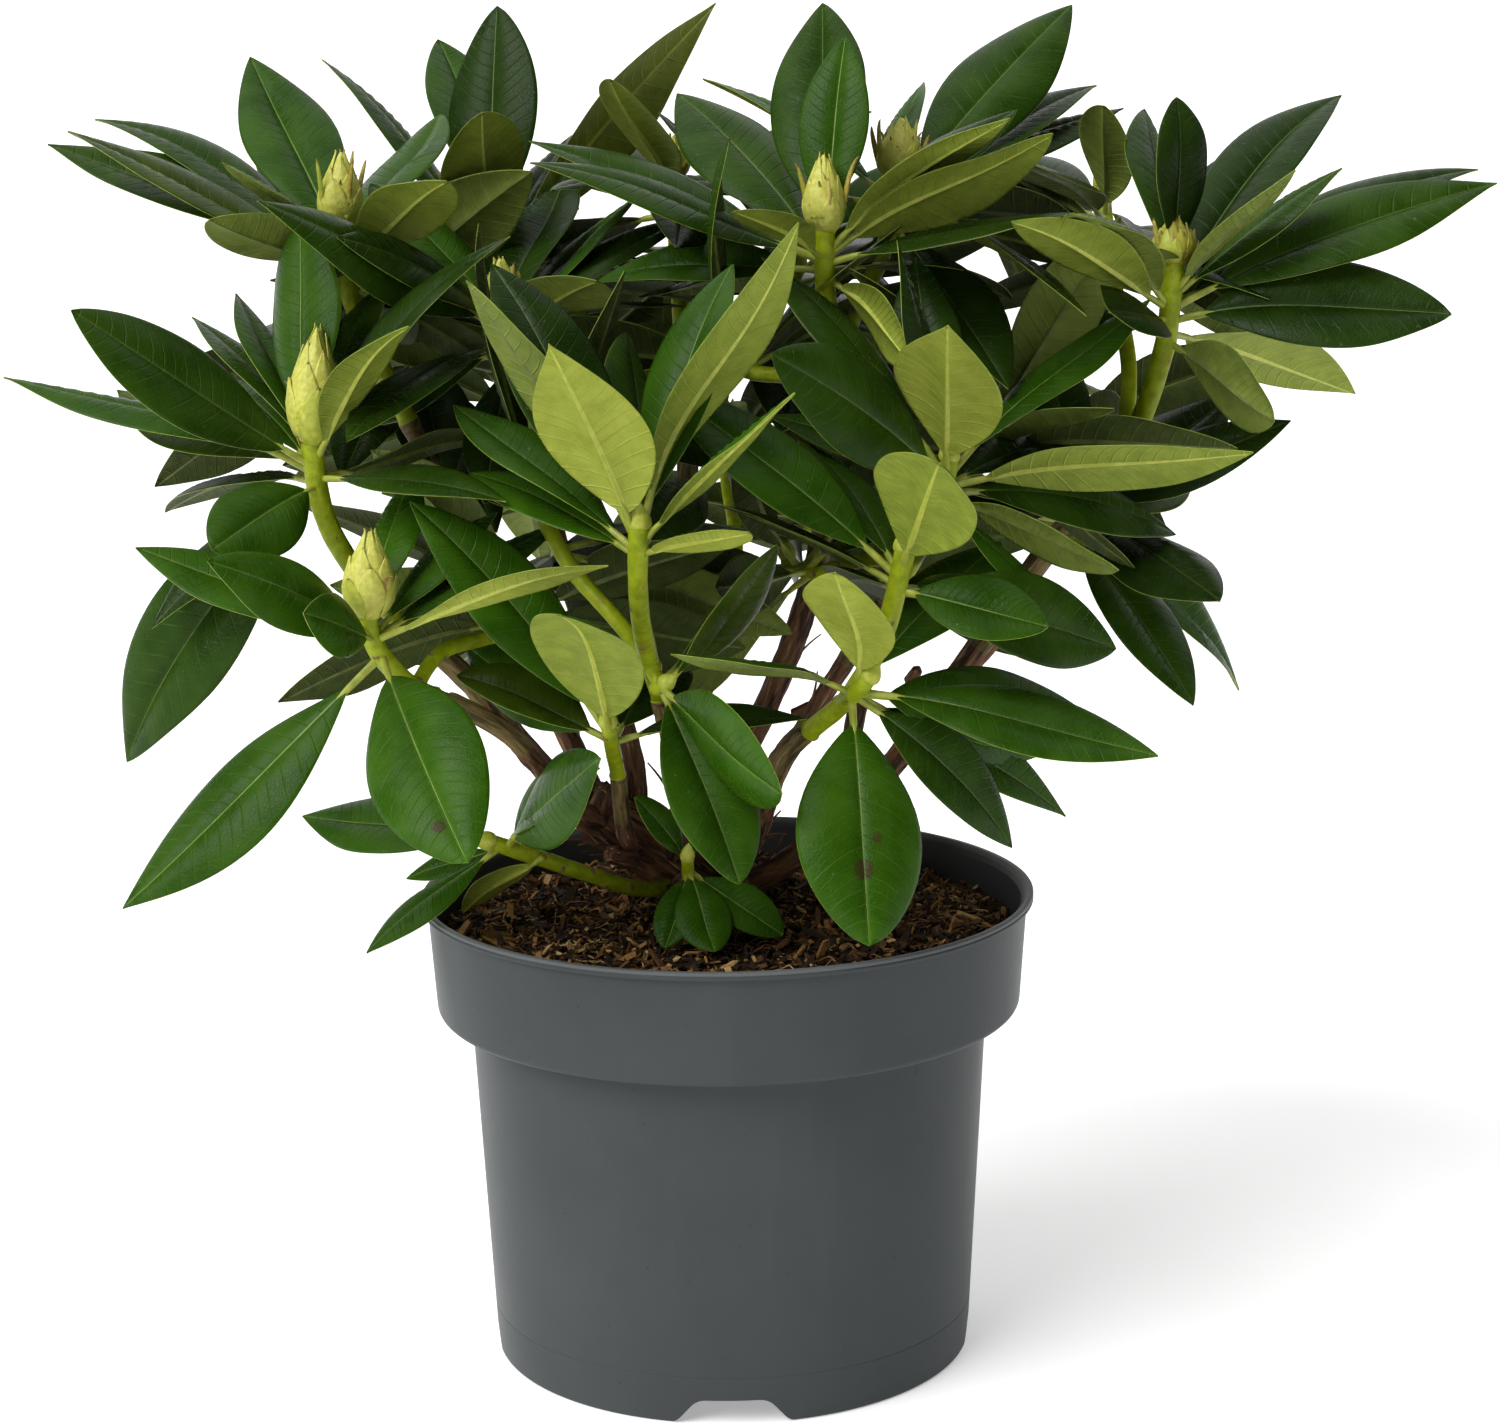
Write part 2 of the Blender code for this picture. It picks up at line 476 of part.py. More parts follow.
def leaf_point(leaf, share):
    """A point of the midrib: an arc whose chord runs along the leaf's direction."""
    way, _, upper = leaf["frame"]
    bend = leaf["bend"]
    angle = bend * (0.5 - share)
    run = (math.sin(bend / 2) - math.sin(angle)) / bend
    rise = (math.cos(angle) - math.cos(bend / 2)) / bend
    return leaf["root"] + (way * run + upper * rise) * leaf["length"]


def leaf_normal(leaf, share):
    way, _, upper = leaf["frame"]
    angle = leaf["bend"] * (0.5 - share)
    return upper * math.cos(angle) - way * math.sin(angle)


def half_width(leaf, share):
    """Half the blade's width at a share of the leaf's length; the petiole is thin and round."""
    if share <= PETIOLE_SHARE:
        return PETIOLE_RADIUS
    blade = (share - PETIOLE_SHARE) / (1 - PETIOLE_SHARE)
    return max(PETIOLE_RADIUS, leaf["width"] / 2 * math.sin(math.pi * blade ** BLADE_SKEW) ** BLADE_FULLNESS)


def leaf_shell(leaf, stations, grow=0.0):
    """Points and faces of a closed leaf: four-sided sections that end in a pointed tip."""
    points = []
    faces = []
    for share in stations[:-1]:
        centre = leaf_point(leaf, share)
        normal = leaf_normal(leaf, share)
        side = leaf["frame"][1]
        half = half_width(leaf, share) + grow
        stalk = share <= PETIOLE_SHARE
        thick = 2 * PETIOLE_RADIUS if stalk else leaf["length"] * LEAF_THICKNESS_SHARE
        drop = 0.0 if stalk else half * MARGIN_DROP
        thick += 2 * grow
        points += [centre + normal * thick / 2, centre + side * half - normal * drop,
                   centre - normal * thick / 2, centre - side * half - normal * drop]
    points.append(leaf_point(leaf, 1.0) + (leaf_point(leaf, 1.0) - leaf_point(leaf, 0.98)) * (grow * 20))
    rings = len(stations) - 1
    for ring in range(rings - 1):
        for corner in range(4):
            a = ring * 4 + corner
            b = ring * 4 + (corner + 1) % 4
            faces.append((a, b, b + 4, a + 4))
    last = (rings - 1) * 4
    for corner in range(4):
        faces.append((last + corner, last + (corner + 1) % 4, len(points) - 1))
    faces.append((3, 2, 1, 0))
    return points, faces


def tree_of(points, faces):
    return BVHTree.FromPolygons([tuple(point) for point in points], faces)


def tree_of_mesh(mesh):
    return BVHTree.FromPolygons([vertex.co[:] for vertex in mesh.vertices],
                                [face.vertices[:] for face in mesh.polygons])


def in_crown(point):
    """Whether a point lies in the space that leaves placed by the rule keep to."""
    reach = [(point[i] - CROWN_CENTRE[i]) / CROWN_REACH[i] for i in range(3)]
    inside = sum(value * value for value in reach) < 1.0
    low_right = point.x > RIGHT_LIMIT and point.z < RIGHT_HEIGHT
    return inside and point.z > SKIRT_HEIGHT and point.y > FRONT_LIMIT and not low_right


def over_pot(leaf):
    """Whether the leaf clears the potting mix, the rim and the outside of the pot."""
    for step in range(3, 11):
        share = step / 10
        for side in (-1, 0, 1):
            point = leaf_point(leaf, share) + leaf["frame"][1] * (side * half_width(leaf, share))
            point -= leaf_normal(leaf, share) * (MARGIN_DROP * half_width(leaf, share) * abs(side))
            radius = math.hypot(point.x, point.y)
            if radius < RIM_RADIUS and point.z < SOIL_TOP + SOIL_ROOM:
                return False
            if abs(radius - RIM_RADIUS) < RIM_ROOM and point.z < POT_HEIGHT + SOIL_ROOM:
                return False
    return True


class Garden:
    """What is placed so far, so that each new leaf stays clear of other limbs and masses."""

    def __init__(self, solids):
        self.others = [(None, tree) for tree in solids]
        self.leaves = []
        self.skipped = []

    def clear(self, leaf):
        points, faces = leaf_shell(leaf, LEAF_STATIONS, LEAF_CLEARANCE)
        hull = tree_of(points, faces)
        for mass, tree in self.others:
            if mass != leaf["mass"] and hull.overlap(tree):
                return False
        blade = LEAF_STATIONS[2:]
        thin = tree_of(*leaf_shell(leaf, blade))
        return not any(thin.overlap(other["blade"]) for other in self.leaves
                       if other["mass"] == leaf["mass"])

    def place(self, leaf):
        self.others.append((leaf["mass"], tree_of(*leaf_shell(leaf, LEAF_STATIONS))))
        leaf["blade"] = tree_of(*leaf_shell(leaf, LEAF_STATIONS[2:]))
        self.leaves.append(leaf)


def plan_twigs(limbs):
    """Each shoot's path: the first of a mass goes on from its bough, the next ones fork off it."""
    twigs = []
    first = {}
    for mass, bough, tip, axis, radius, bud, run, count, rows in SHOOTS:
        axis = Vector(axis).normalized()
        tip = mm(tip)
        if mass not in first:
            path, radii = limbs[bough]
            way = (path[-1] - path[-2]).normalized()
            start = path[-1] + way * SEAT_GAP
            start_radius = radii[-1]
        else:
            main_path, main_radii = first[mass]
            start, way = along(main_path, FORK_SHARE)
            start_radius = main_radii[2] * FORK_SLIMNESS
            way = (way + (tip - start).normalized()).normalized()
        points = with_straight_ends(bezier(start, way, axis, tip, TWIG_STEPS), way, axis)
        radii = [start_radius + (radius * 0.001 - start_radius) * i / (len(points) - 1)
                 for i in range(len(points))]
        first.setdefault(mass, (points, radii))
        twigs.append({"mass": mass, "path": points, "radii": radii, "axis": axis, "bud": bud,
                      "run": run * 0.001, "count": count, "rows": rows})
    for mass, share, way, tip, axis, radius, rows in SPROUTS:
        axis = Vector(axis).normalized()
        start, _ = along(limbs["trunk"][0], share)
        points = bezier(start, Vector(way), axis, mm(tip), TWIG_STEPS)
        radii = [radius * 0.001] * len(points)
        twigs.append({"mass": mass, "path": points, "radii": radii, "axis": axis, "bud": (0, 0),
                      "run": SPROUT_RUN, "count": 0, "rows": rows})
    return twigs


def new_leaf(twig, way, length, width, bend, roll=0.0, shown=None):
    """A leaf on a twig: the more it leans away from the shoot's axis, the lower it sits."""
    tilt = twig["axis"].angle(way)
    total = sum((b - a).length for a, b in zip(twig["path"], twig["path"][1:]))
    down = FIRST_NODE + twig["run"] * min(1.0, tilt / FULL_TILT)
    root, axis = along(twig["path"], 1 - down / total)
    return {"mass": twig["mass"], "root": root, "frame": leaf_frame(way, axis, roll, shown),
            "length": length, "width": width, "bend": bend}


def turned_way(way, axis, turn, tilt):
    """A direction turned round the shoot's axis and tilted away from it."""
    moved = way.copy()
    moved.rotate(Matrix.Rotation(turn, 3, axis))
    across = axis.cross(moved)
    if across.length > 0.01:
        moved.rotate(Matrix.Rotation(tilt, 3, across.normalized()))
    return moved.normalized()


def nudges(tries):
    """Small turns and tilts to try in order, growing outwards from none."""
    yield 0.0, 0.0
    for step in range(1, tries):
        for turn, tilt in ((1, 0), (-1, 0), (0, 1), (0, -1), (1, 1), (-1, -1)):
            yield turn * step * NUDGE, tilt * step * NUDGE


def place_rows(garden, twig, number):
    """The leaves that are given one by one."""
    for index, (clock, lean, length, width, shown) in enumerate(twig["rows"]):
        way = leaf_way(clock, lean)
        chance = random.Random(number * 100 + index)
        bend = chance.uniform(*LEAF_BENDS)
        for turn, tilt in nudges(HERO_TRIES):
            leaf = new_leaf(twig, turned_way(way, twig["axis"], turn / 2, tilt / 2),
                            length * 0.001, width * 0.001, bend, 0.0, shown)
            if over_pot(leaf) and garden.clear(leaf):
                garden.place(leaf)
                break
        else:
            garden.skipped.append((twig["mass"], clock, lean))


def place_by_rule(garden, twig, number):
    """The leaves that fill the whorl: each a golden turn on from the last, the later ones lower."""
    chance = random.Random(number * 1000 + 7)
    phase = chance.uniform(0, math.tau)
    side = twig["axis"].orthogonal().normalized()
    for index in range(twig["count"]):
        share = index / max(1, twig["count"] - 1)
        tilt = RULE_TILTS[0] + (RULE_TILTS[1] - RULE_TILTS[0]) * share
        length = chance.uniform(*RULE_LENGTHS)
        width = length * chance.uniform(*RULE_SLIMNESS)
        bend = chance.uniform(*LEAF_BENDS)
        roll = chance.uniform(-RULE_ROLL, RULE_ROLL)
        out = side.copy()
        out.rotate(Matrix.Rotation(phase + index * GOLDEN_TURN, 3, twig["axis"]))
        way = (twig["axis"] * math.cos(tilt) + out * math.sin(tilt)).normalized()
        for turn, lean in nudges(RULE_TRIES):
            leaf = new_leaf(twig, turned_way(way, twig["axis"], turn, lean), length, width, bend, roll)
            near = any(leaf["frame"][0].angle(other["frame"][0]) < LEAF_SPREAD for other in garden.leaves
                       if other["twig"] == number)
            if not near and in_crown(leaf_point(leaf, 1.0)) and over_pot(leaf) and garden.clear(leaf):
                garden.place(leaf)
                break
        for leaf in garden.leaves:
            leaf.setdefault("twig", number)


def plan_leaves(limbs, twigs):
    solids = []
    for path, radii in list(limbs.values()) + [(twig["path"], twig["radii"]) for twig in twigs]:
        mesh = tube_mesh("guide", path, radii)
        solids.append(tree_of_mesh(mesh))
        bpy.data.meshes.remove(mesh)
    garden = Garden(solids[:len(limbs)])
    for twig, tree in zip(twigs, solids[len(limbs):]):
        garden.others.append((twig["mass"], tree))
        if twig["bud"][0]:
            bud = bud_mesh(twig, LEAF_CLEARANCE)
            garden.others.append((twig["mass"], tree_of_mesh(bud)))
            bpy.data.meshes.remove(bud)
    for number, twig in enumerate(twigs):
        place_rows(garden, twig, number)
        for leaf in garden.leaves:
            leaf.setdefault("twig", number)
    for number, twig in enumerate(twigs):
        place_by_rule(garden, twig, number)
    return garden


def bud_mesh(twig, grow=0.0):
    """A flower bud: an egg shape that sits on the shoot's tip and ends in a point."""
    length, radius = (value * 0.001 + grow for value in twig["bud"])
    shape = bmesh.new()
    bmesh.ops.create_uvsphere(shape, u_segments=6, v_segments=5, radius=1.0)
    turn = twig["axis"].to_track_quat("Z", "Y")
    for vertex in shape.verts:
        height = (vertex.co.z + 1) / 2
        slim = radius * (1 - BUD_NARROWING * height * height)
        up = height * (length + BUD_SINK) - BUD_SINK
        place = Vector((vertex.co.x * slim, vertex.co.y * slim, up))
        vertex.co = twig["path"][-1] + turn @ place
    mesh = bpy.data.meshes.new("bud")
    shape.to_mesh(mesh)
    shape.free()
    return mesh


def face_runs(shape):
    """The faces in runs that meet edge to edge, the largest last."""
    left = set(shape.faces)
    runs = []
    while left:
        stack = [left.pop()]
        run = list(stack)
        while stack:
            plain = [edge for edge in stack.pop().edges if len(edge.link_faces) == 2]
            for face in {face for edge in plain for face in edge.link_faces} & left:
                left.remove(face)
                stack.append(face)
                run.append(face)
        runs.append(run)
    return sorted(runs, key=len)


def drop_scraps(mesh):
    """Close the hairline necks that a union leaves and drop the slivers that this cuts off."""
    for hairline in HAIRLINES:
        shape = bmesh.new()
        shape.from_mesh(mesh)
        bmesh.ops.triangulate(shape, faces=shape.faces)
        bmesh.ops.remove_doubles(shape, verts=shape.verts, dist=hairline)
        scraps = [face for run in face_runs(shape)[:-1] for face in run]
        bmesh.ops.delete(shape, geom=scraps, context="FACES")
        bare = [edge for edge in shape.edges if not edge.link_faces]
        bmesh.ops.delete(shape, geom=bare, context="EDGES")
        sound = all(len(edge.link_faces) == 2 for edge in shape.edges)
        if sound:
            shape.to_mesh(mesh)
        shape.free()
        if sound:
            return


def make_masses(limbs, twigs, garden, parts, cutters):
    """Each mass: its stem, forks, buds and leaves joined into one solid by one union."""
    scene = bpy.context.scene
    names = list(dict.fromkeys(twig["mass"] for twig in twigs))
    for name in names:
        pieces = bpy.data.collections.new(name + "_pieces")
        scene.collection.children.link(pieces)
        own = [twig for twig in twigs if twig["mass"] == name]
        for twig in own[1:]:
            new_object("twig", tube_mesh("twig", twig["path"], twig["radii"], 0), pieces)
        for twig in own:
            if twig["bud"][0]:
                new_object("bud", bud_mesh(twig), pieces)
        for leaf in garden.leaves:
            if leaf["mass"] == name:
                new_object("leaf", mesh_from("leaf", *leaf_shell(leaf, LEAF_STATIONS)), pieces)
        stem = tube_mesh(name, own[0]["path"], own[0]["radii"], 0)
        stem = new_object(name, stem, parts, LEAF_COLOUR, 0.45)
        join = stem.modifiers.new("join", "BOOLEAN")
        join.operation = "UNION"
        join.operand_type = "COLLECTION"
        join.collection = pieces
        if name in SPROUT_MASSES:
            seat = stem.modifiers.new("seat", "BOOLEAN")
            seat.operation = "DIFFERENCE"
            seat.object = cutters.objects["trunk_seat"]
        bpy.context.view_layer.update()
        graph = bpy.context.evaluated_depsgraph_get()
        joined = bpy.data.meshes.new_from_object(stem.evaluated_get(graph))
        drop_scraps(joined)
        stem.modifiers.clear()
        stem.data = joined
        for piece in list(pieces.objects):
            bpy.data.objects.remove(piece)
        bpy.data.collections.remove(pieces)


def main():
    for thing in list(bpy.data.objects):
        bpy.data.objects.remove(thing)
    parts = bpy.data.collections.new("potted_rhododendron")
    cutters = bpy.data.collections.new("cutters")
    bpy.context.scene.collection.children.link(parts)
    bpy.context.scene.collection.children.link(cutters)
    make_pot(parts, cutters)
    make_potting_mix(parts)
    limbs = plan_limbs()
    make_limbs(limbs, parts, cutters)
    twigs = plan_twigs(limbs)
    garden = plan_leaves(limbs, twigs)
    make_masses(limbs, twigs, garden, parts, cutters)
    for cutter in cutters.objects:
        cutter.hide_render = True
        cutter.display_type = "WIRE"
    print("leaves", len(garden.leaves), "left out", garden.skipped)


main()
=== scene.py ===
# %% [markdown]
# # A rhododendron in a nursery pot
# This lesson dresses a plain CAD model as a small evergreen shrub in bud. The solids give the sizes
# and the places. Here each of them gets its real surface: moulded plastic, coarse potting mix,
# peeling bark, and some three hundred and fifty leathery leaves. One rule grows the plant, the same
# that grew the solids. So the first 233 leaves stand where the solids have them and are only made
# finer, and the others are older leaves that the rule adds lower on the shoots.

import math
import random

import bmesh
import bpy
import numpy as np
from mathutils import Matrix, Vector, noise
from mathutils.bvhtree import BVHTree


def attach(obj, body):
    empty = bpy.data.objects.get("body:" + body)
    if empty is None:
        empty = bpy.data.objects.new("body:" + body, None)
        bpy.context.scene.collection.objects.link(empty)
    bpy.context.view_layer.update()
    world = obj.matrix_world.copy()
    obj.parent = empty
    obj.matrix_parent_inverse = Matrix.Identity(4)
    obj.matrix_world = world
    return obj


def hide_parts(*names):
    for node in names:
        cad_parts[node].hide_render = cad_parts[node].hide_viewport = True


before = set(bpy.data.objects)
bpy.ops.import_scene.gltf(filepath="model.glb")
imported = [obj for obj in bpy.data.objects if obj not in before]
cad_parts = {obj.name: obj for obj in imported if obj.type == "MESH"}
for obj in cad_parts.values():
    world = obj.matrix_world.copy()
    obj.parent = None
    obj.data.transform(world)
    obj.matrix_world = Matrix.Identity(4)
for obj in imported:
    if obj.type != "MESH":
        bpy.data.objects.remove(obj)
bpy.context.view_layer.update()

# %% [markdown]
# ## Camera
# The pot's rim and foot are circles, so their outlines in a picture tell where the camera stood: how
# far off, how high, and how far it looks down. The numbers below come from that. The lens has no
# shift, and the small roll makes up for a camera that was not quite level.

# %% Camera
CAMERA_PLACE = (0.0094, -1.2230, 0.4994)
LOOK_DOWN = 0.2057
ROLL = 0.0128
FOCAL_PIXELS = 3352.2
PICTURE_WIDTH = 1500
SENSOR = 36.0

lens = bpy.data.cameras.new("camera")
lens.sensor_width = SENSOR
lens.lens = FOCAL_PIXELS / PICTURE_WIDTH * SENSOR
lens.clip_start = 0.01
camera = bpy.data.objects.new("camera", lens)
turn = Matrix.Rotation(math.radians(90) - LOOK_DOWN, 4, "X") @ Matrix.Rotation(-ROLL, 4, "Z")
camera.matrix_world = Matrix.Translation(CAMERA_PLACE) @ turn
bpy.context.scene.collection.objects.link(camera)
bpy.context.scene.camera = camera
print("lens: %.1f mm" % lens.lens)

# %% [markdown]
# ## Shader maths
# A finish is a small network of nodes. Writing it as Python expressions keeps it readable: `Value`
# wraps the output of a node, and adding or multiplying values adds the Math nodes. Every other node
# comes from one method, which takes its type, its settings and what goes into its sockets.


# %% Shader maths
class Value:
    """A number that a node gives; Python's operators add the Math nodes."""

    def __init__(self, finish, output):
        self.finish = finish
        self.output = output

    def maths(self, operation, *inputs):
        return self.finish.node("ShaderNodeMath", {"operation": operation}, dict(enumerate(inputs)))

    def __add__(self, other):
        return self.maths("ADD", self, other)

    __radd__ = __add__

    def __sub__(self, other):
        return self.maths("SUBTRACT", self, other)

    def __rsub__(self, other):
        return self.maths("SUBTRACT", other, self)

    def __mul__(self, other):
        return self.maths("MULTIPLY", self, other)

    __rmul__ = __mul__

    def __abs__(self):
        return self.maths("ABSOLUTE", self)

    def __mod__(self, other):
        return self.maths("FLOORED_MODULO", self, other)

    def __rmod__(self, other):
        return self.maths("FLOORED_MODULO", other, self)


class Finish:
    """A material whose nodes are written as expressions."""

    def __init__(self, name, **fixed):
        self.material = bpy.data.materials.new(name)
        self.material.use_nodes = True
        self.tree = self.material.node_tree
        self.shader = self.tree.nodes["Principled BSDF"]
        for key, value in fixed.items():
            self.shader.inputs[key.replace("_", " ").title().replace("Ior", "IOR")].default_value = value

    def node(self, kind, settings=None, inputs=None, output=0):
        made = self.tree.nodes.new(kind)
        for key, value in (settings or {}).items():
            setattr(made, key, value)
        for key, value in (inputs or {}).items():
            self.put(made.inputs[key], value)
        return Value(self, made.outputs[output])

    def put(self, socket, value):
        if isinstance(value, Value):
            self.tree.links.new(value.output, socket)
        else:
            socket.default_value = value

    def wire(self, **inputs):
        for key, value in inputs.items():
            self.put(self.shader.inputs[key.replace("_", " ").title()], value)
        return self

    def place(self, scale=1.0, stretch=(1, 1, 1)):
        """Object coordinates, so that a pattern stays on the thing from every side."""
        spot = self.node("ShaderNodeTexCoord", output=3)
        size = tuple(scale * value for value in stretch)
        return self.node("ShaderNodeMapping", None, {"Vector": spot, "Scale": size})

    def speckle(self, scale, detail=3.0, roughness=0.55, where=None):
        """Noise from 0 to 1; the scale is in waves per metre."""
        settings = {"Scale": 1.0, "Detail": detail, "Roughness": roughness}
        settings["Vector"] = where or self.place(scale)
        return self.node("ShaderNodeTexNoise", None, settings)

    def span(self, value, low, high, out_low=0.0, out_high=1.0):
        """The value moved from one range to another, smoothly, and held at the ends."""
        limits = {1: low, 2: high, 3: out_low, 4: out_high, "Value": value}
        return self.node("ShaderNodeMapRange", {"interpolation_type": "SMOOTHSTEP"}, limits)

    def blend(self, share, first, second):
        """A colour between two colours."""
        mix = {0: share, 6: self.colour(first), 7: self.colour(second)}
        return self.node("ShaderNodeMix", {"data_type": "RGBA"}, mix, output=2)

    @staticmethod
    def colour(value):
        return value if isinstance(value, Value) else (*value, 1)

    def relief(self, height, depth):
        """A bump of a given depth in metres."""
        return self.node("ShaderNodeBump", None, {"Height": height, "Distance": depth})

    def parts(self, vector):
        """The three numbers of a vector."""
        split = "ShaderNodeSeparateXYZ"
        return [self.node(split, None, {"Vector": vector}, output=index) for index in range(3)]

    def mark(self):
        """What the points of a mesh say about where on a leaf or along a limb they are."""
        return self.node("ShaderNodeAttribute", {"attribute_name": "mark"}, output=1)


def streaked(name, dark, light, scale, detail, depth, **fixed):
    """A finish that runs between two colours in fine streaks with a relief."""
    finish = Finish(name, **fixed)
    streaks = finish.speckle(scale, detail)
    tone = finish.blend(finish.span(streaks, 0.3, 0.7), dark, light)
    return finish.wire(base_color=tone, normal=finish.relief(streaks, depth))


print("shader maths ready")

# %% [markdown]
# ## Floor and light
# The plant stands on a plain pale floor that runs far enough back to fill the picture. The floor is
# a milky sheet that glows a little, as the table for such pictures does, so shadows on it stay faint.
# The light is that of a product studio: one wide soft source high at the front left, and a weaker
# and wider one from above and behind. A bright band runs all round at the height of the horizon, and
# the wall on the left glows higher up. So the right side of the pot falls into a gentle shade, and
# its outline mirrors the band. The two sources are suns with a wide disc, because a sun lights the
# floor evenly however far it runs.

# %% Floor
FLOOR_REACH = 160.0

floor_mesh = bpy.data.meshes.new("floor")
corners = [(x * FLOOR_REACH, y * FLOOR_REACH, 0) for x, y in ((-1, -1), (1, -1), (1, 1), (-1, 1))]
floor_mesh.from_pydata(corners, [], [(0, 1, 2, 3)])
floor = bpy.data.objects.new("floor", floor_mesh)
bpy.context.scene.collection.objects.link(floor)
floor_finish = Finish("floor_finish", roughness=0.8, specular_ior_level=0.2, emission_strength=0.36)
floor_finish.shader.inputs["Emission Color"].default_value = (1, 1, 1, 1)
milky = floor_finish.blend(floor_finish.speckle(3.0), (0.87, 0.87, 0.87), (0.89, 0.89, 0.89))
floor_finish.wire(base_color=milky)
floor_mesh.materials.append(floor_finish.material)

# %% Lights
# Each source: its name, where it stands, the width of its disc in degrees and its strength
SUNS = [("key", (-0.79, -0.64, 0.98), 46, 3.4), ("fill", (0.05, 0.75, 1.0), 90, 1.8)]
# How far up and across the left wall and the band at the horizon glow, from a bright to a dark end
WALL_UP = (0.05, 0.30)
WALL_ACROSS = (-0.7, 0.5)
HORIZON_UP = (0.06, 0.11)
WALL_LIGHT = 0.55
HORIZON_LIGHT = 1.10
CEILING_LIGHT = 0.05

for name, place, disc, strength in SUNS:
    lamp = bpy.data.lights.new(name, "SUN")
    lamp.angle = math.radians(disc)
    lamp.energy = strength
    holder = bpy.data.objects.new(name, lamp)
    holder.rotation_euler = Vector(place).to_track_quat("Z", "Y").to_euler()
    bpy.context.scene.collection.objects.link(holder)

studio = bpy.data.worlds.new("studio")
studio.use_nodes = True
bpy.context.scene.world = studio
walls = Finish.__new__(Finish)
walls.tree = studio.node_tree
across, _, up = walls.parts(walls.node("ShaderNodeTexCoord"))
low = walls.span(abs(up), *WALL_UP, 1.0, 0.0)
left = walls.span(across, *WALL_ACROSS, 1.0, 0.03)
horizon = walls.span(abs(up), *HORIZON_UP, 1.0, 0.0)
backdrop = studio.node_tree.nodes["Background"]
backdrop.inputs["Color"].default_value = (1, 1, 1, 1)
walls.put(backdrop.inputs["Strength"], CEILING_LIGHT + low * left * WALL_LIGHT + horizon * HORIZON_LIGHT)
bpy.context.scene.view_settings.view_transform = "Standard"
print("lights:", len(SUNS))

# %% [markdown]
# ## Heaps of small shells
# A shrub is thousands of small closed shells. Blender could hold each as an object, but it is quicker
# to gather points and faces as arrays and to make one mesh from the heap. A face row has four
# corners, or three and a -1. Marks are three numbers a point, which a finish can read to know where
# on a leaf or along a limb it is.


# %% Heaps
class Heap:
    """Points, faces, finish numbers and marks of many shells that become one mesh."""

    def __init__(self):
        self.points = []
        self.faces = []
        self.slots = []
        self.marks = []
        self.count = 0

    def add(self, points, faces, slots, marks=None):
        faces = np.asarray(faces, np.int64)
        self.points.append(np.asarray(points, np.float64))
        self.faces.append(np.where(faces >= 0, faces + self.count, -1))
        self.slots.append(np.broadcast_to(np.asarray(slots, np.int32), (len(faces),)))
        self.marks.append(np.zeros((len(points), 3)) if marks is None else marks)
        self.count += len(points)

    def piece(self, name, finishes, record_slot, replaced=(), flat=False):
        points = np.concatenate(self.points)
        faces = np.concatenate(self.faces)
        sizes = np.where(faces[:, 3] < 0, 3, 4)
        mesh = bpy.data.meshes.new(name)
        mesh.vertices.add(len(points))
        mesh.vertices.foreach_set("co", points.astype(np.float32).ravel())
        mesh.loops.add(int(sizes.sum()))
        mesh.loops.foreach_set("vertex_index", faces[faces >= 0].astype(np.int32))
        mesh.polygons.add(len(faces))
        mesh.polygons.foreach_set("loop_start", np.concatenate([[0], np.cumsum(sizes)[:-1]]).astype(np.int32))
        mesh.polygons.foreach_set("material_index", np.concatenate(self.slots))
        mesh.polygons.foreach_set("use_smooth", np.full(len(faces), not flat))
        mark = mesh.attributes.new("mark", "FLOAT_VECTOR", "POINT")
        mark.data.foreach_set("vector", np.concatenate(self.marks).astype(np.float32).ravel())
        for finish in finishes:
            mesh.materials.append(finish.material)
        mesh.update(calc_edges=True)
        mesh.validate()
        made = bpy.data.objects.new(name, mesh)
        bpy.context.scene.collection.objects.link(made)
        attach(made, "root")
        if replaced:
            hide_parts(*replaced)
        print("%s: %d points, %d triangles" % (name, len(points), int((sizes - 2).sum())))
        return made


def grid_faces(rows, columns, closed=False):
    """Quads of a grid of points, row by row; a closed grid joins its last column to its first."""
    row = np.arange(rows - 1)[:, None]
    column = np.arange(columns if closed else columns - 1)[None, :]
    after = (column + 1) % columns
    corners = [row * columns + column, row * columns + after, (row + 1) * columns + after,
               (row + 1) * columns + column]
    return np.stack([corner.ravel() for corner in corners], axis=1)


def tube_faces(rows, sides, flip=False):
    """Faces of a tube of rings with a fan at each end; its two middle points are the last ones."""
    side = np.arange(sides)
    after = (side + 1) % sides
    blank = np.full(sides, -1)
    last = (rows - 1) * sides
    tip = np.full(sides, rows * sides)
    quads = grid_faces(rows, sides, True)
    if flip:
        side, after = after, side
        quads = quads[:, ::-1]
    return np.concatenate([quads, np.stack([after, side, tip, blank], axis=1),
                           np.stack([last + side, last + after, tip + 1, blank], axis=1)])


# A direction that no limb has, to start the first ring of a sweep from
ASKEW = (0.31, 0.87, 0.21)


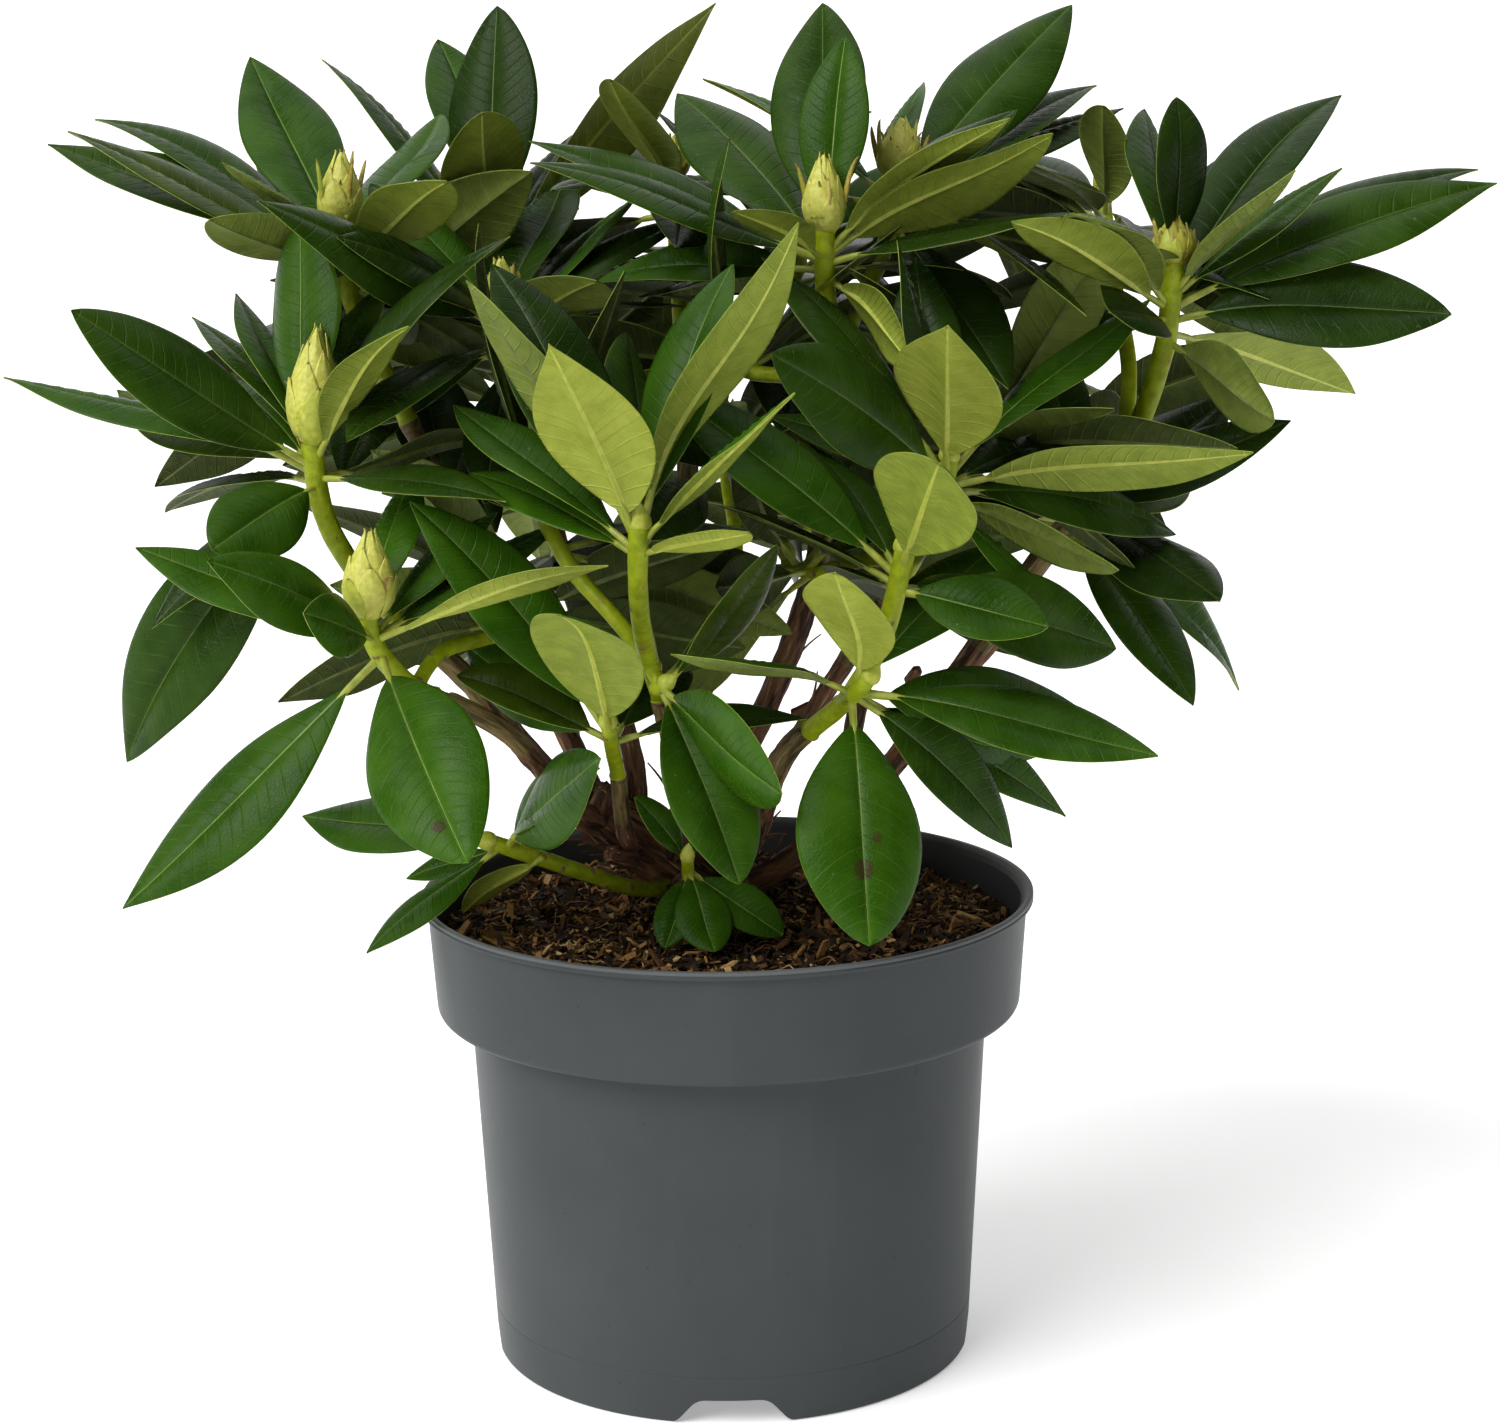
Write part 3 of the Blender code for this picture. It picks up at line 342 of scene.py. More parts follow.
def sweep(points, radii, sides, flat=1.0, relief=None):
    """A closed tube along points. The relief gives extra radius from the angle and the run, if wanted."""
    points = np.asarray([tuple(point) for point in points], float)
    ways = np.gradient(points, axis=0)
    ways /= np.linalg.norm(ways, axis=1)[:, None]
    across = np.cross(ways[0], ASKEW)
    run = np.concatenate([[0], np.cumsum(np.linalg.norm(np.diff(points, axis=0), axis=1))])
    angles = np.arange(sides) * math.tau / sides
    rings = []
    for point, way, radius, length in zip(points, ways, radii, run):
        across = across - way * across.dot(way)
        across /= np.linalg.norm(across)
        other = np.cross(way, across)
        reach = np.full(sides, radius)
        if relief:
            reach = reach + relief(angles, radius, length)
        rings.append(point + (np.cos(angles) * reach)[:, None] * across
                     + (np.sin(angles) * reach * flat)[:, None] * other)
    marks = np.stack([np.tile(np.cos(angles), len(rings)) * np.repeat(radii, sides),
                      np.tile(np.sin(angles), len(rings)) * np.repeat(radii, sides),
                      np.repeat(run, sides)], axis=1)
    marks = np.concatenate([marks, [[0, 0, 0], [0, 0, run[-1]]]])
    return np.concatenate(rings + [points[:1], points[-1:]]), tube_faces(len(rings), sides), marks


print("heaps ready")

# %% [markdown]
# ## The tables of the shrub
# The solids grow from a few tables: the trunk's path, a row for each bough, a row for each shoot with
# its leaves, and two low sprouts. They are given again here, in millimetres, so that the same rule
# grows the same plant. A bough's row names its parent, the share of the parent's length where it
# leaves, the way it leaves, its tip, the way it arrives there, and its first and last radius. A
# shoot's row names its mass and bough, its tip, its axis, its radius, its bud's length and radius,
# the run that its whorl takes up, and how many leaves the rule adds. A leaf's row says where it
# points as an angle seen from the front, how far it leans to the front, its length, its width, and
# how much of its width shows.

# %% Trunk and boughs
def mm(values):
    """A vector in metres from a row in millimetres."""
    return Vector(values) * 0.001


SEAT_GAP = 0.0003
TRUNK = {"foot": (4, 18, 152), "foot_way": (-0.3, 0, 1), "tip": (-53, 13, 208), "tip_way": (-0.6, -0.1, 0.7),
         "radii": (12, 8.5), "flare": 6}
BOUGHS = {
    "bough_left_low": ("trunk", 0.82, (-0.6, -0.8, 0.3), (-96, -77, 265), (-0.75, -0.35, 0.35), 4.0, 3.2),
    "bough_left": ("trunk", 0.97, (-0.8, -0.2, 0.6), (-108, -40, 281), (-0.7, -0.1, 0.6), 4.4, 3.7),
    "bough_left_back": ("trunk", 0.92, (-0.2, 0.9, 0.4), (-112, 12, 345), (-0.35, 0.0, 0.9), 4.2, 3.4),
    "bough_back_left": ("trunk", 0.72, (0.2, 0.7, 0.8), (-66, 44, 318), (-0.1, 0.1, 1.0), 4.4, 3.6),
    "bough_front": ("trunk", 0.50, (0.2, -0.9, 0.6), (-22, -62, 262), (-0.15, -0.55, 0.7), 4.2, 3.4),
    "bough_centre_low": ("trunk", 0.68, (-0.2, -1.0, 0.1), (-38, -55, 232), (-0.05, -0.6, 0.75), 3.2, 2.8),
    "bough_front_right": ("trunk", 0.30, (0.8, -0.6, 0.5), (30, -62, 250), (0.5, -0.7, 0.45), 4.6, 3.6),
    "bough_inner_right": ("bough_front_right", 0.62, (0.5, 0.5, 0.8), (58, -34, 290), (0.5, -0.3, 0.8),
                          3.4, 3.0),
    "bough_top": ("trunk", 0.46, (0.6, 0.0, 1.0), (40, 4, 345), (0.0, -0.15, 1.0), 4.8, 3.8),
    "bough_right_far": ("trunk", 0.20, (0.9, 0.3, 0.3), (136, 6, 322), (0.6, -0.3, 0.75), 5.0, 3.8),
    "bough_right_low": ("bough_right_far", 0.50, (0.5, 0.8, 0.5), (116, 42, 284), (0.4, 0.2, 0.9), 3.4, 3.0),
    "bough_back": ("trunk", 0.48, (0.1, 1.0, 0.3), (-14, 84, 330), (0.0, 0.1, 1.0), 4.8, 3.6),
    "bough_back_right": ("bough_right_far", 0.24, (0.2, 0.9, 0.4), (70, 104, 312), (0.2, 0.4, 0.9), 3.8, 3.2),
    "bough_rear_left": ("bough_back_left", 0.45, (-0.6, 0.8, 0.5), (-104, 92, 318), (-0.4, 0.4, 0.8),
                        3.2, 3.0),
    "bough_rear_low": ("bough_back", 0.36, (0.3, 0.9, 0.5), (4, 132, 276), (0.1, 0.7, 0.7), 3.4, 3.0),
}
LIMB_STEPS = 5
TWIG_STEPS = 3
BEZIER_PULL = 0.36
END_STRAIGHT = 0.004
FORK_SHARE = 0.22
FORK_SLIMNESS = 0.8


def bezier(start, leave, arrive, tip, count):
    """Points along a cubic from start to tip that leaves and arrives in the given directions."""
    pull = (tip - start).length * BEZIER_PULL
    first = start + leave.normalized() * pull
    second = tip - arrive.normalized() * pull
    points = []
    for index in range(count + 1):
        t = index / count
        s = 1 - t
        points.append(start * s ** 3 + first * (3 * s * s * t) + second * (3 * s * t * t) + tip * t ** 3)
    return points


def with_straight_ends(points, head, tail):
    """The points with a short straight run added inside each end, so that the end faces lie square."""
    first = points[0] + head.normalized() * END_STRAIGHT
    last = points[-1] - tail.normalized() * END_STRAIGHT
    return [points[0], first] + points[1:-1] + [last, points[-1]]


def along(points, share):
    """The place and direction at a share of a path's length."""
    lengths = [(b - a).length for a, b in zip(points, points[1:])]
    left = share * sum(lengths)
    for a, b, length in zip(points, points[1:], lengths):
        if left <= length:
            return a.lerp(b, left / length), (b - a).normalized()
        left -= length
    return points[-1].copy(), (points[-1] - points[-2]).normalized()


def taper(first, last, count, flare=0.0):
    """Radii in metres that shrink along a limb, with an optional flare at its foot."""
    radii = []
    for index in range(count):
        t = index / (count - 1)
        radii.append((first + (last - first) * t + flare * (1 - t) ** 5) * 0.001)
    return radii


def plan_limbs():
    """The path and radii of the trunk and of every bough."""
    path = bezier(mm(TRUNK["foot"]), Vector(TRUNK["foot_way"]), Vector(TRUNK["tip_way"]), mm(TRUNK["tip"]), 9)
    limbs = {"trunk": (path, taper(*TRUNK["radii"], len(path), TRUNK["flare"]))}
    for name, (parent, share, leave, tip, arrive, first, last) in BOUGHS.items():
        start, _ = along(limbs[parent][0], share)
        path = bezier(start, Vector(leave), Vector(arrive), mm(tip), LIMB_STEPS)
        path = with_straight_ends(path, Vector(leave), Vector(arrive))
        limbs[name] = (path, taper(first, last, len(path)))
    return limbs


limbs = plan_limbs()
print("limbs:", len(limbs))

# %% Shoots and sprouts
SPROUT_RUN = 0.008
SHOOTS = [
    ("mass_left_low", "bough_left_low", (-121, -90, 299), (0.05, 0, 1), 3.6, (30, 9), 14, 0, [
        (302, 50, 101, 43, 1.0), (223, 8, 125, 37, 0.7), (143, 40, 79, 28, 0.6), (131, 64, 59, 22, 0.6),
        (159, -8, 90, 29, 0.5), (78, -46, 70, 28, 0.7), (42, -42, 73, 24, 0.4), (21, 24, 97, 26, -0.4),
        (30, -30, 85, 26, 0.4)]),
    ("mass_left", "bough_left", (-143, -50, 354), (0.08, 0, 1), 3.9, (41, 9.6), 16, 2, [
        (143, 15, 101, 37, 0.6), (164, -14, 124, 26, 0.25), (163, -36, 104, 34, 0.5), (206, 50, 56, 31, 0.9),
        (233, -6, 128, 43, 0.9), (150, -55, 98, 28, 0.4), (138, -46, 104, 24, 0.3), (124, -50, 104, 26, 0.3),
        (93, -16, 83, 37, 0.75), (75, -46, 85, 32, 0.5), (53, 38, 85, 27, -0.5), (357, 28, 79, 24, 0.3)]),
    ("mass_left_top", "bough_left_back", (-138, 10, 425), (0.06, 0, 1), 3.6, (28, 8), 25, 2, [
        (120, -42, 113, 36, 0.9), (133, -48, 91, 20, 0.5), (151, -22, 121, 30, 0.3), (152, 6, 110, 30, 0.3),
        (157, -8, 121, 34, 0.45), (160, -26, 106, 30, 0.4), (146, 54, 68, 32, -0.7), (132, 42, 72, 24, -0.4),
        (59, -50, 93, 34, 0.6), (38, 50, 87, 31, -0.75)]),
    ("mass_left_top", "bough_left_back", (-148, 66, 384), (-0.2, 0.3, 1), 3.0, (0, 0), 14, 5, []),
    ("mass_back_left", "bough_back_left", (-78, -2, 395), (-0.05, -0.1, 1), 3.4, (20, 6.5), 16, 2, [
        (144, 30, 112, 31, 0.55), (137, -20, 77, 32, 0.5), (156, 38, 83, 28, 0.3), (34, 52, 69, 35, -0.6),
        (71, -54, 96, 37, 0.7), (45, -48, 100, 28, 0.3), (31, -36, 94, 27, 0.4)]),
    ("mass_back_left", "bough_back_left", (-86, 72, 412), (0.0, 0.1, 1), 3.2, (0, 0), 14, 3, [
        (107, -38, 113, 38, 0.8), (89, -24, 100, 40, 0.9), (132, -28, 120, 24, 0.3), (90, 42, 81, 37, -0.8),
        (60, -40, 72, 28, 0.5), (49, -20, 138, 36, -0.65)]),
    ("mass_front", "bough_front", (-27, -110, 331), (0.08, 0, 1), 3.5, (0, 0), 14, 2, [
        (109, 35, 96, 41, -0.9), (123, 13, 107, 35, -0.6), (63, 10, 122, 33, -0.6), (47, 28, 87, 22, -0.4),
        (18, 38, 50, 24, -0.5), (146, -36, 98, 31, 0.35), (94, -45, 95, 33, 0.55), (70, -40, 104, 37, 0.6),
        (160, -40, 84, 30, 0.4)]),
    ("mass_front", "bough_front", (-20, -84, 272), (0.5, -0.3, 0.4), 2.6, (0, 0), 8, 0, [
        (328, 50, 77, 40, 0.75), (293, 24, 79, 34, 0.8), (51, 10, 68, 24, 0.6), (43, -22, 58, 26, 0.5)]),
    ("mass_front", "bough_front", (-62, -52, 326), (-0.3, 0.3, 1), 3.0, (0, 0), 14, 5, []),
    ("mass_centre_low", "bough_centre_low", (-40, -80, 257), (-0.1, -0.3, 1), 2.8, (0, 0), 10, 2, [
        (102, 52, 95, 39, -0.9), (164, -14, 60, 26, 0.5)]),
    ("mass_left_low", "bough_left_low", (-66, -34, 296), (0.2, 0.3, 1), 2.8, (0, 0), 14, 6, []),
    ("mass_front_right", "bough_front_right", (62, -110, 322), (0.15, 0, 1), 3.4, (0, 0), 16, 2, [
        (78, 54, 82, 39, -0.9), (341, -22, 90, 34, 0.8), (128, -50, 80, 30, 0.5), (348, 18, 54, 28, 0.7)]),
    ("mass_front_right", "bough_front_right", (50, -98, 276), (0.4, -0.1, 0.6), 3.2, (0, 0), 12, 1, [
        (273, 34, 92, 45, 0.95), (350, 15, 106, 35, 0.45), (337, -34, 98, 33, 0.8), (100, 46, 74, 33, -0.8),
        (161, 26, 73, 24, -0.4), (38, -42, 92, 31, 0.65), (345, -38, 116, 32, 0.75),
        (314, -14, 84, 27, 0.75), (324, -24, 108, 24, 0.65)]),
    ("mass_inner_right", "bough_inner_right", (80, -60, 346), (0.1, 0, 1), 3.2, (0, 0), 14, 3, [
        (93, 48, 90, 41, -0.85), (128, -26, 107, 30, 0.4), (140, 32, 94, 39, 0.75), (37, -28, 110, 26, 0.4),
        (8, 14, 109, 35, -0.65), (340, 30, 72, 28, -0.55)]),
    ("mass_inner_right", "bough_inner_right", (98, 2, 350), (0.2, 0.3, 1), 3.0, (0, 0), 14, 5, []),
    ("mass_inner_right", "bough_inner_right", (24, -8, 304), (-0.3, 0.2, 1), 2.8, (0, 0), 14, 6, []),
    ("mass_top", "bough_top", (38, -20, 423), (0.0, 0, 1), 3.8, (28, 7.5), 16, 2, [
        (89, -37, 108, 39, 0.9), (83, -20, 78, 27, 0.9), (130, -40, 105, 37, 0.75), (116, -50, 84, 27, 0.6),
        (158, -12, 117, 28, 0.4), (160, 12, 112, 30, 0.35), (147, 48, 57, 23, -0.6), (38, 26, 90, 29, -0.55),
        (32, 12, 93, 36, -0.65), (311, 42, 54, 25, -0.6)]),
    ("mass_top", "bough_top", (67, 30, 438), (0.05, 0, 1), 3.6, (24, 8.5), 14, 2, [
        (45, -30, 115, 37, 0.85), (72, -54, 76, 24, 0.5), (27, -36, 113, 30, 0.4), (20, -32, 115, 30, 0.4),
        (147, -30, 98, 24, 0.3)]),
    ("mass_top", "bough_top", (2, 6, 378), (-0.3, 0.1, 1), 3.0, (0, 0), 14, 5, []),
    ("mass_back_top", "bough_back", (-17, 82, 438), (0.0, 0, 1), 3.4, (17, 6), 14, 5, [
        (115, 50, 80, 32, -0.6), (145, -50, 90, 31, 0.5)]),
    ("mass_back_top", "bough_back", (30, 92, 402), (0.3, 0.1, 1), 3.0, (0, 0), 14, 5, []),
    ("mass_right_top", "bough_right_far", (164, -10, 410), (0.02, 0, 1), 3.9, (17, 8), 28, 0, [
        (93, -42, 87, 31, 0.65), (89, -6, 62, 26, 0.8), (61, -42, 102, 33, 0.8), (44, -36, 127, 33, 0.65),
        (51, 32, 71, 24, -0.5), (38, 6, 76, 21, 0.3), (24, -14, 73, 24, 0.45), (20, -5, 129, 35, 0.65),
        (22, -20, 135, 30, 0.4), (2, 12, 101, 39, 0.75), (3, -34, 124, 32, 0.4), (339, -44, 127, 37, -0.6),
        (324, 40, 56, 35, -0.6), (165, 58, 50, 31, 0.4), (138, 48, 86, 31, -0.6), (146, 38, 92, 31, -0.6),
        (188, -46, 62, 28, 0.4)]),
    ("mass_right_top", "bough_right_far", (146, 58, 428), (0.0, 0.1, 1), 3.0, (10, 3), 14, 5, [
        (96, 40, 57, 27, -0.6), (44, 22, 86, 29, -0.5)]),
    ("mass_right_low", "bough_right_low", (135, 32, 322), (0.15, 0, 1), 3.2, (0, 0), 16, 5, [
        (10, -50, 82, 33, 0.7), (331, -44, 106, 22, 0.3), (316, -22, 113, 32, 0.5), (342, 20, 40, 22, 0.4)]),
    ("mass_rear_right", "bough_back_right", (84, 128, 384), (0.1, 0.2, 1), 3.4, (22, 7), 16, 7, []),
    ("mass_rear_right", "bough_back_right", (142, 132, 338), (0.4, 0.4, 0.8), 3.0, (0, 0), 14, 7, []),
    ("mass_rear_left", "bough_rear_left", (-124, 110, 384), (-0.1, 0.1, 1), 3.4, (20, 6.5), 16, 7, []),
    ("mass_rear_left", "bough_rear_left", (-84, 150, 348), (-0.2, 0.5, 0.8), 3.0, (0, 0), 14, 7, []),
    ("mass_rear_low", "bough_rear_low", (0, 172, 326), (0.0, 0.5, 0.9), 3.2, (18, 6), 16, 7, []),
    ("mass_rear_low", "bough_rear_low", (56, 158, 296), (0.5, 0.6, 0.6), 2.8, (0, 0), 14, 7, []),
]
SPROUTS = [
    ("mass_sprout_front", 0.40, (0.3, -0.9, 0.1), (-14, -46, 200), (0.1, -0.4, 0.9), 2.2, [
        (253, 30, 33, 16, 0.9), (286, 36, 37, 21, 0.9), (322, 20, 42, 18, 0.8), (124, 14, 34, 15, 0.6),
        (60, 10, 28, 13, 0.6)]),
    ("mass_sprout_left", 0.36, (-0.5, -1.0, -0.2), (-86, -34, 204), (-0.8, -0.5, 0.35), 3.0, [
        (47, 30, 88, 32, 0.6), (44, 20, 66, 25, 0.4), (179, -30, 93, 29, 0.6), (223, 20, 64, 20, 0.4),
        (200, -10, 40, 14, 0.5)]),
]
SPROUT_MASSES = [row[0] for row in SPROUTS]


def plan_twigs(limbs):
    """Each shoot's path: the first of a mass goes on from its bough, the next ones fork off it."""
    twigs = []
    first = {}
    for mass, bough, tip, axis, radius, bud, run, count, rows in SHOOTS:
        axis = Vector(axis).normalized()
        tip = mm(tip)
        if mass not in first:
            path, radii = limbs[bough]
            way = (path[-1] - path[-2]).normalized()
            start = path[-1] + way * SEAT_GAP
            start_radius = radii[-1]
        else:
            main_path, main_radii = first[mass]
            start, way = along(main_path, FORK_SHARE)
            start_radius = main_radii[2] * FORK_SLIMNESS
            way = (way + (tip - start).normalized()).normalized()
        points = with_straight_ends(bezier(start, way, axis, tip, TWIG_STEPS), way, axis)
        radii = [start_radius + (radius * 0.001 - start_radius) * i / (len(points) - 1)
                 for i in range(len(points))]
        first.setdefault(mass, (points, radii))
        twigs.append({"mass": mass, "path": points, "radii": radii, "axis": axis, "bud": bud,
                      "run": run * 0.001, "count": count, "rows": rows})
    for mass, share, way, tip, axis, radius, rows in SPROUTS:
        axis = Vector(axis).normalized()
        start, _ = along(limbs["trunk"][0], share)
        points = bezier(start, Vector(way), axis, mm(tip), TWIG_STEPS)
        radii = [radius * 0.001] * len(points)
        twigs.append({"mass": mass, "path": points, "radii": radii, "axis": axis, "bud": (0, 0),
                      "run": SPROUT_RUN, "count": 0, "rows": rows})
    return twigs


twigs = plan_twigs(limbs)
print("shoots and sprouts:", len(twigs))

# %% [markdown]
# ## Where each leaf stands
# The rows are placed first. A leaf that would touch the pot, a limb or another mass is turned a
# little until it is free. Then a rule fills each whorl: every leaf stands a golden turn on from the
# last, and the later ones sit lower and lie flatter, as on the real shrub. The test shells are the
# plain four-sided leaves of the solids, so the places come out the same. At the end the rule goes
# round once more and adds older leaves, shorter and flatter, that only the finer plant has.

# %% The shape of one leaf
PETIOLE_SHARE = 0.13
PETIOLE_RADIUS = 0.0013
LEAF_THICKNESS_SHARE = 0.016
MARGIN_DROP = 0.16
LEAF_STATIONS = (0.0, 0.14, 0.40, 0.76, 1.0)
LEAF_CLEARANCE = 0.0008
BUD_NARROWING = 0.35
BUD_SINK = 0.003
BLADE_SKEW = 0.9
BLADE_FULLNESS = 0.72


def leaf_way(clock, lean):
    """The direction of a leaf from its clock angle and its lean towards the front, in degrees."""
    turn = math.radians(clock)
    tip = math.radians(lean)
    return Vector((math.cos(turn) * math.cos(tip), -math.sin(tip), math.sin(turn) * math.cos(tip)))


def leaf_frame(way, axis, roll=0.0, shown=None):
    """The leaf's own directions: along it, across it, and out of its upper side.

    The upper side faces the shoot's axis, so an upright leaf shows its back to the outside. Where the
    share of the width that shows from the front is given, the leaf is rolled to that instead, by the
    shorter way.
    """
    front = (Vector((0, -1, 0)) + way * way.y).normalized()
    upper = axis - way * axis.dot(way)
    if upper.length < 0.05:
        upper = front.copy()
    upper.normalize()
    if shown is not None:
        edge = way.cross(front)
        turn = math.acos(shown) * (1 if upper.dot(edge) > 0 else -1)
        upper = front * math.cos(turn) + edge * math.sin(turn)
    upper.rotate(Matrix.Rotation(roll, 3, way))
    return way, way.cross(upper).normalized(), upper


def leaf_point(leaf, share):
    """A point of the midrib: an arc whose chord runs along the leaf's direction."""
    way, _, upper = leaf["frame"]
    bend = leaf["bend"]
    angle = bend * (0.5 - share)
    run = (math.sin(bend / 2) - math.sin(angle)) / bend
    rise = (math.cos(angle) - math.cos(bend / 2)) / bend
    return leaf["root"] + (way * run + upper * rise) * leaf["length"]


def leaf_normal(leaf, share):
    way, _, upper = leaf["frame"]
    angle = leaf["bend"] * (0.5 - share)
    return upper * math.cos(angle) - way * math.sin(angle)


def half_width(leaf, share):
    """Half the blade's width at a share of the leaf's length; the petiole is thin and round."""
    if share <= PETIOLE_SHARE:
        return PETIOLE_RADIUS
    blade = (share - PETIOLE_SHARE) / (1 - PETIOLE_SHARE)
    return max(PETIOLE_RADIUS, leaf["width"] / 2 * math.sin(math.pi * blade ** BLADE_SKEW) ** BLADE_FULLNESS)


def leaf_shell(leaf, stations, grow=0.0):
    """Points and faces of a closed leaf: four-sided sections that end in a pointed tip."""
    points = []
    faces = []
    for share in stations[:-1]:
        centre = leaf_point(leaf, share)
        normal = leaf_normal(leaf, share)
        side = leaf["frame"][1]
        half = half_width(leaf, share) + grow
        stalk = share <= PETIOLE_SHARE
        thick = 2 * PETIOLE_RADIUS if stalk else leaf["length"] * LEAF_THICKNESS_SHARE
        drop = 0.0 if stalk else half * MARGIN_DROP
        thick += 2 * grow
        points += [centre + normal * thick / 2, centre + side * half - normal * drop,
                   centre - normal * thick / 2, centre - side * half - normal * drop]
    points.append(leaf_point(leaf, 1.0) + (leaf_point(leaf, 1.0) - leaf_point(leaf, 0.98)) * (grow * 20))
    rings = len(stations) - 1
    for ring in range(rings - 1):
        for corner in range(4):
            a = ring * 4 + corner
            b = ring * 4 + (corner + 1) % 4
            faces.append((a, b, b + 4, a + 4))
    last = (rings - 1) * 4
    for corner in range(4):
        faces.append((last + corner, last + (corner + 1) % 4, len(points) - 1))
    faces.append((3, 2, 1, 0))
    return points, faces


# %% The room that a leaf needs
POT_HEIGHT = 0.1767
RIM_RADIUS = 0.115
SOIL_TOP = 0.166
SOIL_ROOM = 0.004
RIM_ROOM = 0.009
CROWN_CENTRE = Vector((0.008, 0.030, 0.318))
CROWN_REACH = Vector((0.235, 0.225, 0.165))
SKIRT_HEIGHT = 0.238
FRONT_LIMIT = -0.078
RIGHT_LIMIT = 0.178
RIGHT_HEIGHT = 0.345


def tree_of(points, faces):
    return BVHTree.FromPolygons([tuple(point) for point in points], faces)


def tree_of_mesh(mesh):
    return BVHTree.FromPolygons([vertex.co[:] for vertex in mesh.vertices],
                                [face.vertices[:] for face in mesh.polygons])


def in_crown(point):
    """Whether a point lies in the space that leaves placed by the rule keep to."""
    reach = [(point[i] - CROWN_CENTRE[i]) / CROWN_REACH[i] for i in range(3)]
    inside = sum(value * value for value in reach) < 1.0
    low_right = point.x > RIGHT_LIMIT and point.z < RIGHT_HEIGHT
    return inside and point.z > SKIRT_HEIGHT and point.y > FRONT_LIMIT and not low_right


def over_pot(leaf):
    """Whether the leaf clears the potting mix, the rim and the outside of the pot."""
    for step in range(3, 11):
        share = step / 10
        for side in (-1, 0, 1):
            point = leaf_point(leaf, share) + leaf["frame"][1] * (side * half_width(leaf, share))
            point -= leaf_normal(leaf, share) * (MARGIN_DROP * half_width(leaf, share) * abs(side))
            radius = math.hypot(point.x, point.y)
            if radius < RIM_RADIUS and point.z < SOIL_TOP + SOIL_ROOM:
                return False
            if abs(radius - RIM_RADIUS) < RIM_ROOM and point.z < POT_HEIGHT + SOIL_ROOM:
                return False
    return True


class Garden:
    """What is placed so far, so that each new leaf stays clear of other limbs and masses."""

    def __init__(self, solids):
        self.others = [(None, tree) for tree in solids]
        self.leaves = []
        self.skipped = []

    def clear(self, leaf):
        points, faces = leaf_shell(leaf, LEAF_STATIONS, LEAF_CLEARANCE)
        hull = tree_of(points, faces)
        for mass, tree in self.others:
            if mass != leaf["mass"] and hull.overlap(tree):
                return False
        blade = LEAF_STATIONS[2:]
        thin = tree_of(*leaf_shell(leaf, blade))
        return not any(thin.overlap(other["blade"]) for other in self.leaves
                       if other["mass"] == leaf["mass"])

    def place(self, leaf, number):
        leaf["twig"] = number
        self.others.append((leaf["mass"], tree_of(*leaf_shell(leaf, LEAF_STATIONS))))
        leaf["blade"] = tree_of(*leaf_shell(leaf, LEAF_STATIONS[2:]))
        self.leaves.append(leaf)


# %% The rule
GOLDEN_TURN = math.radians(137.5)
FIRST_NODE = 0.002
FULL_TILT = math.radians(120)
# For the whorl and for the older leaves: the seed, tilts, lengths and the least angle between leaves
WHORL = (7, (math.radians(38), math.radians(98)), (0.084, 0.112), math.radians(27))
OLDER = (501, (math.radians(78), math.radians(104)), (0.066, 0.098), math.radians(18))
OLDER_COUNT = 6
OLDER_COUNT_OF_PAIRS = 4
RULE_SLIMNESS = (0.29, 0.36)
LEAF_BENDS = (math.radians(8), math.radians(34))
RULE_ROLL = math.radians(32)
RULE_TRIES = 9
HERO_TRIES = 7
NUDGE = math.radians(6)


def new_leaf(twig, way, length, width, bend, roll=0.0, shown=None):
    """A leaf on a twig: the more it leans away from the shoot's axis, the lower it sits."""
    tilt = twig["axis"].angle(way)
    total = sum((b - a).length for a, b in zip(twig["path"], twig["path"][1:]))
    down = FIRST_NODE + twig["run"] * min(1.0, tilt / FULL_TILT)
    root, axis = along(twig["path"], 1 - down / total)
    return {"mass": twig["mass"], "root": root, "frame": leaf_frame(way, axis, roll, shown),
            "length": length, "width": width, "bend": bend}


def turned_way(way, axis, turn, tilt):
    """A direction turned round the shoot's axis and tilted away from it."""
    moved = way.copy()
    moved.rotate(Matrix.Rotation(turn, 3, axis))
    across = axis.cross(moved)
    if across.length > 0.01:
        moved.rotate(Matrix.Rotation(tilt, 3, across.normalized()))
    return moved.normalized()


def nudges(tries):
    """Small turns and tilts to try in order, growing outwards from none."""
    yield 0.0, 0.0
    for step in range(1, tries):
        for turn, tilt in ((1, 0), (-1, 0), (0, 1), (0, -1), (1, 1), (-1, -1)):
            yield turn * step * NUDGE, tilt * step * NUDGE


def place_rows(garden, twig, number):
    """The leaves that are given one by one."""
    for index, (clock, lean, length, width, shown) in enumerate(twig["rows"]):
        way = leaf_way(clock, lean)
        chance = random.Random(number * 100 + index)
        bend = chance.uniform(*LEAF_BENDS)
        for turn, tilt in nudges(HERO_TRIES):
            leaf = new_leaf(twig, turned_way(way, twig["axis"], turn / 2, tilt / 2),
                            length * 0.001, width * 0.001, bend, 0.0, shown)
            if over_pot(leaf) and garden.clear(leaf):
                garden.place(leaf, number)
                break
        else:
            garden.skipped.append((twig["mass"], clock, lean))


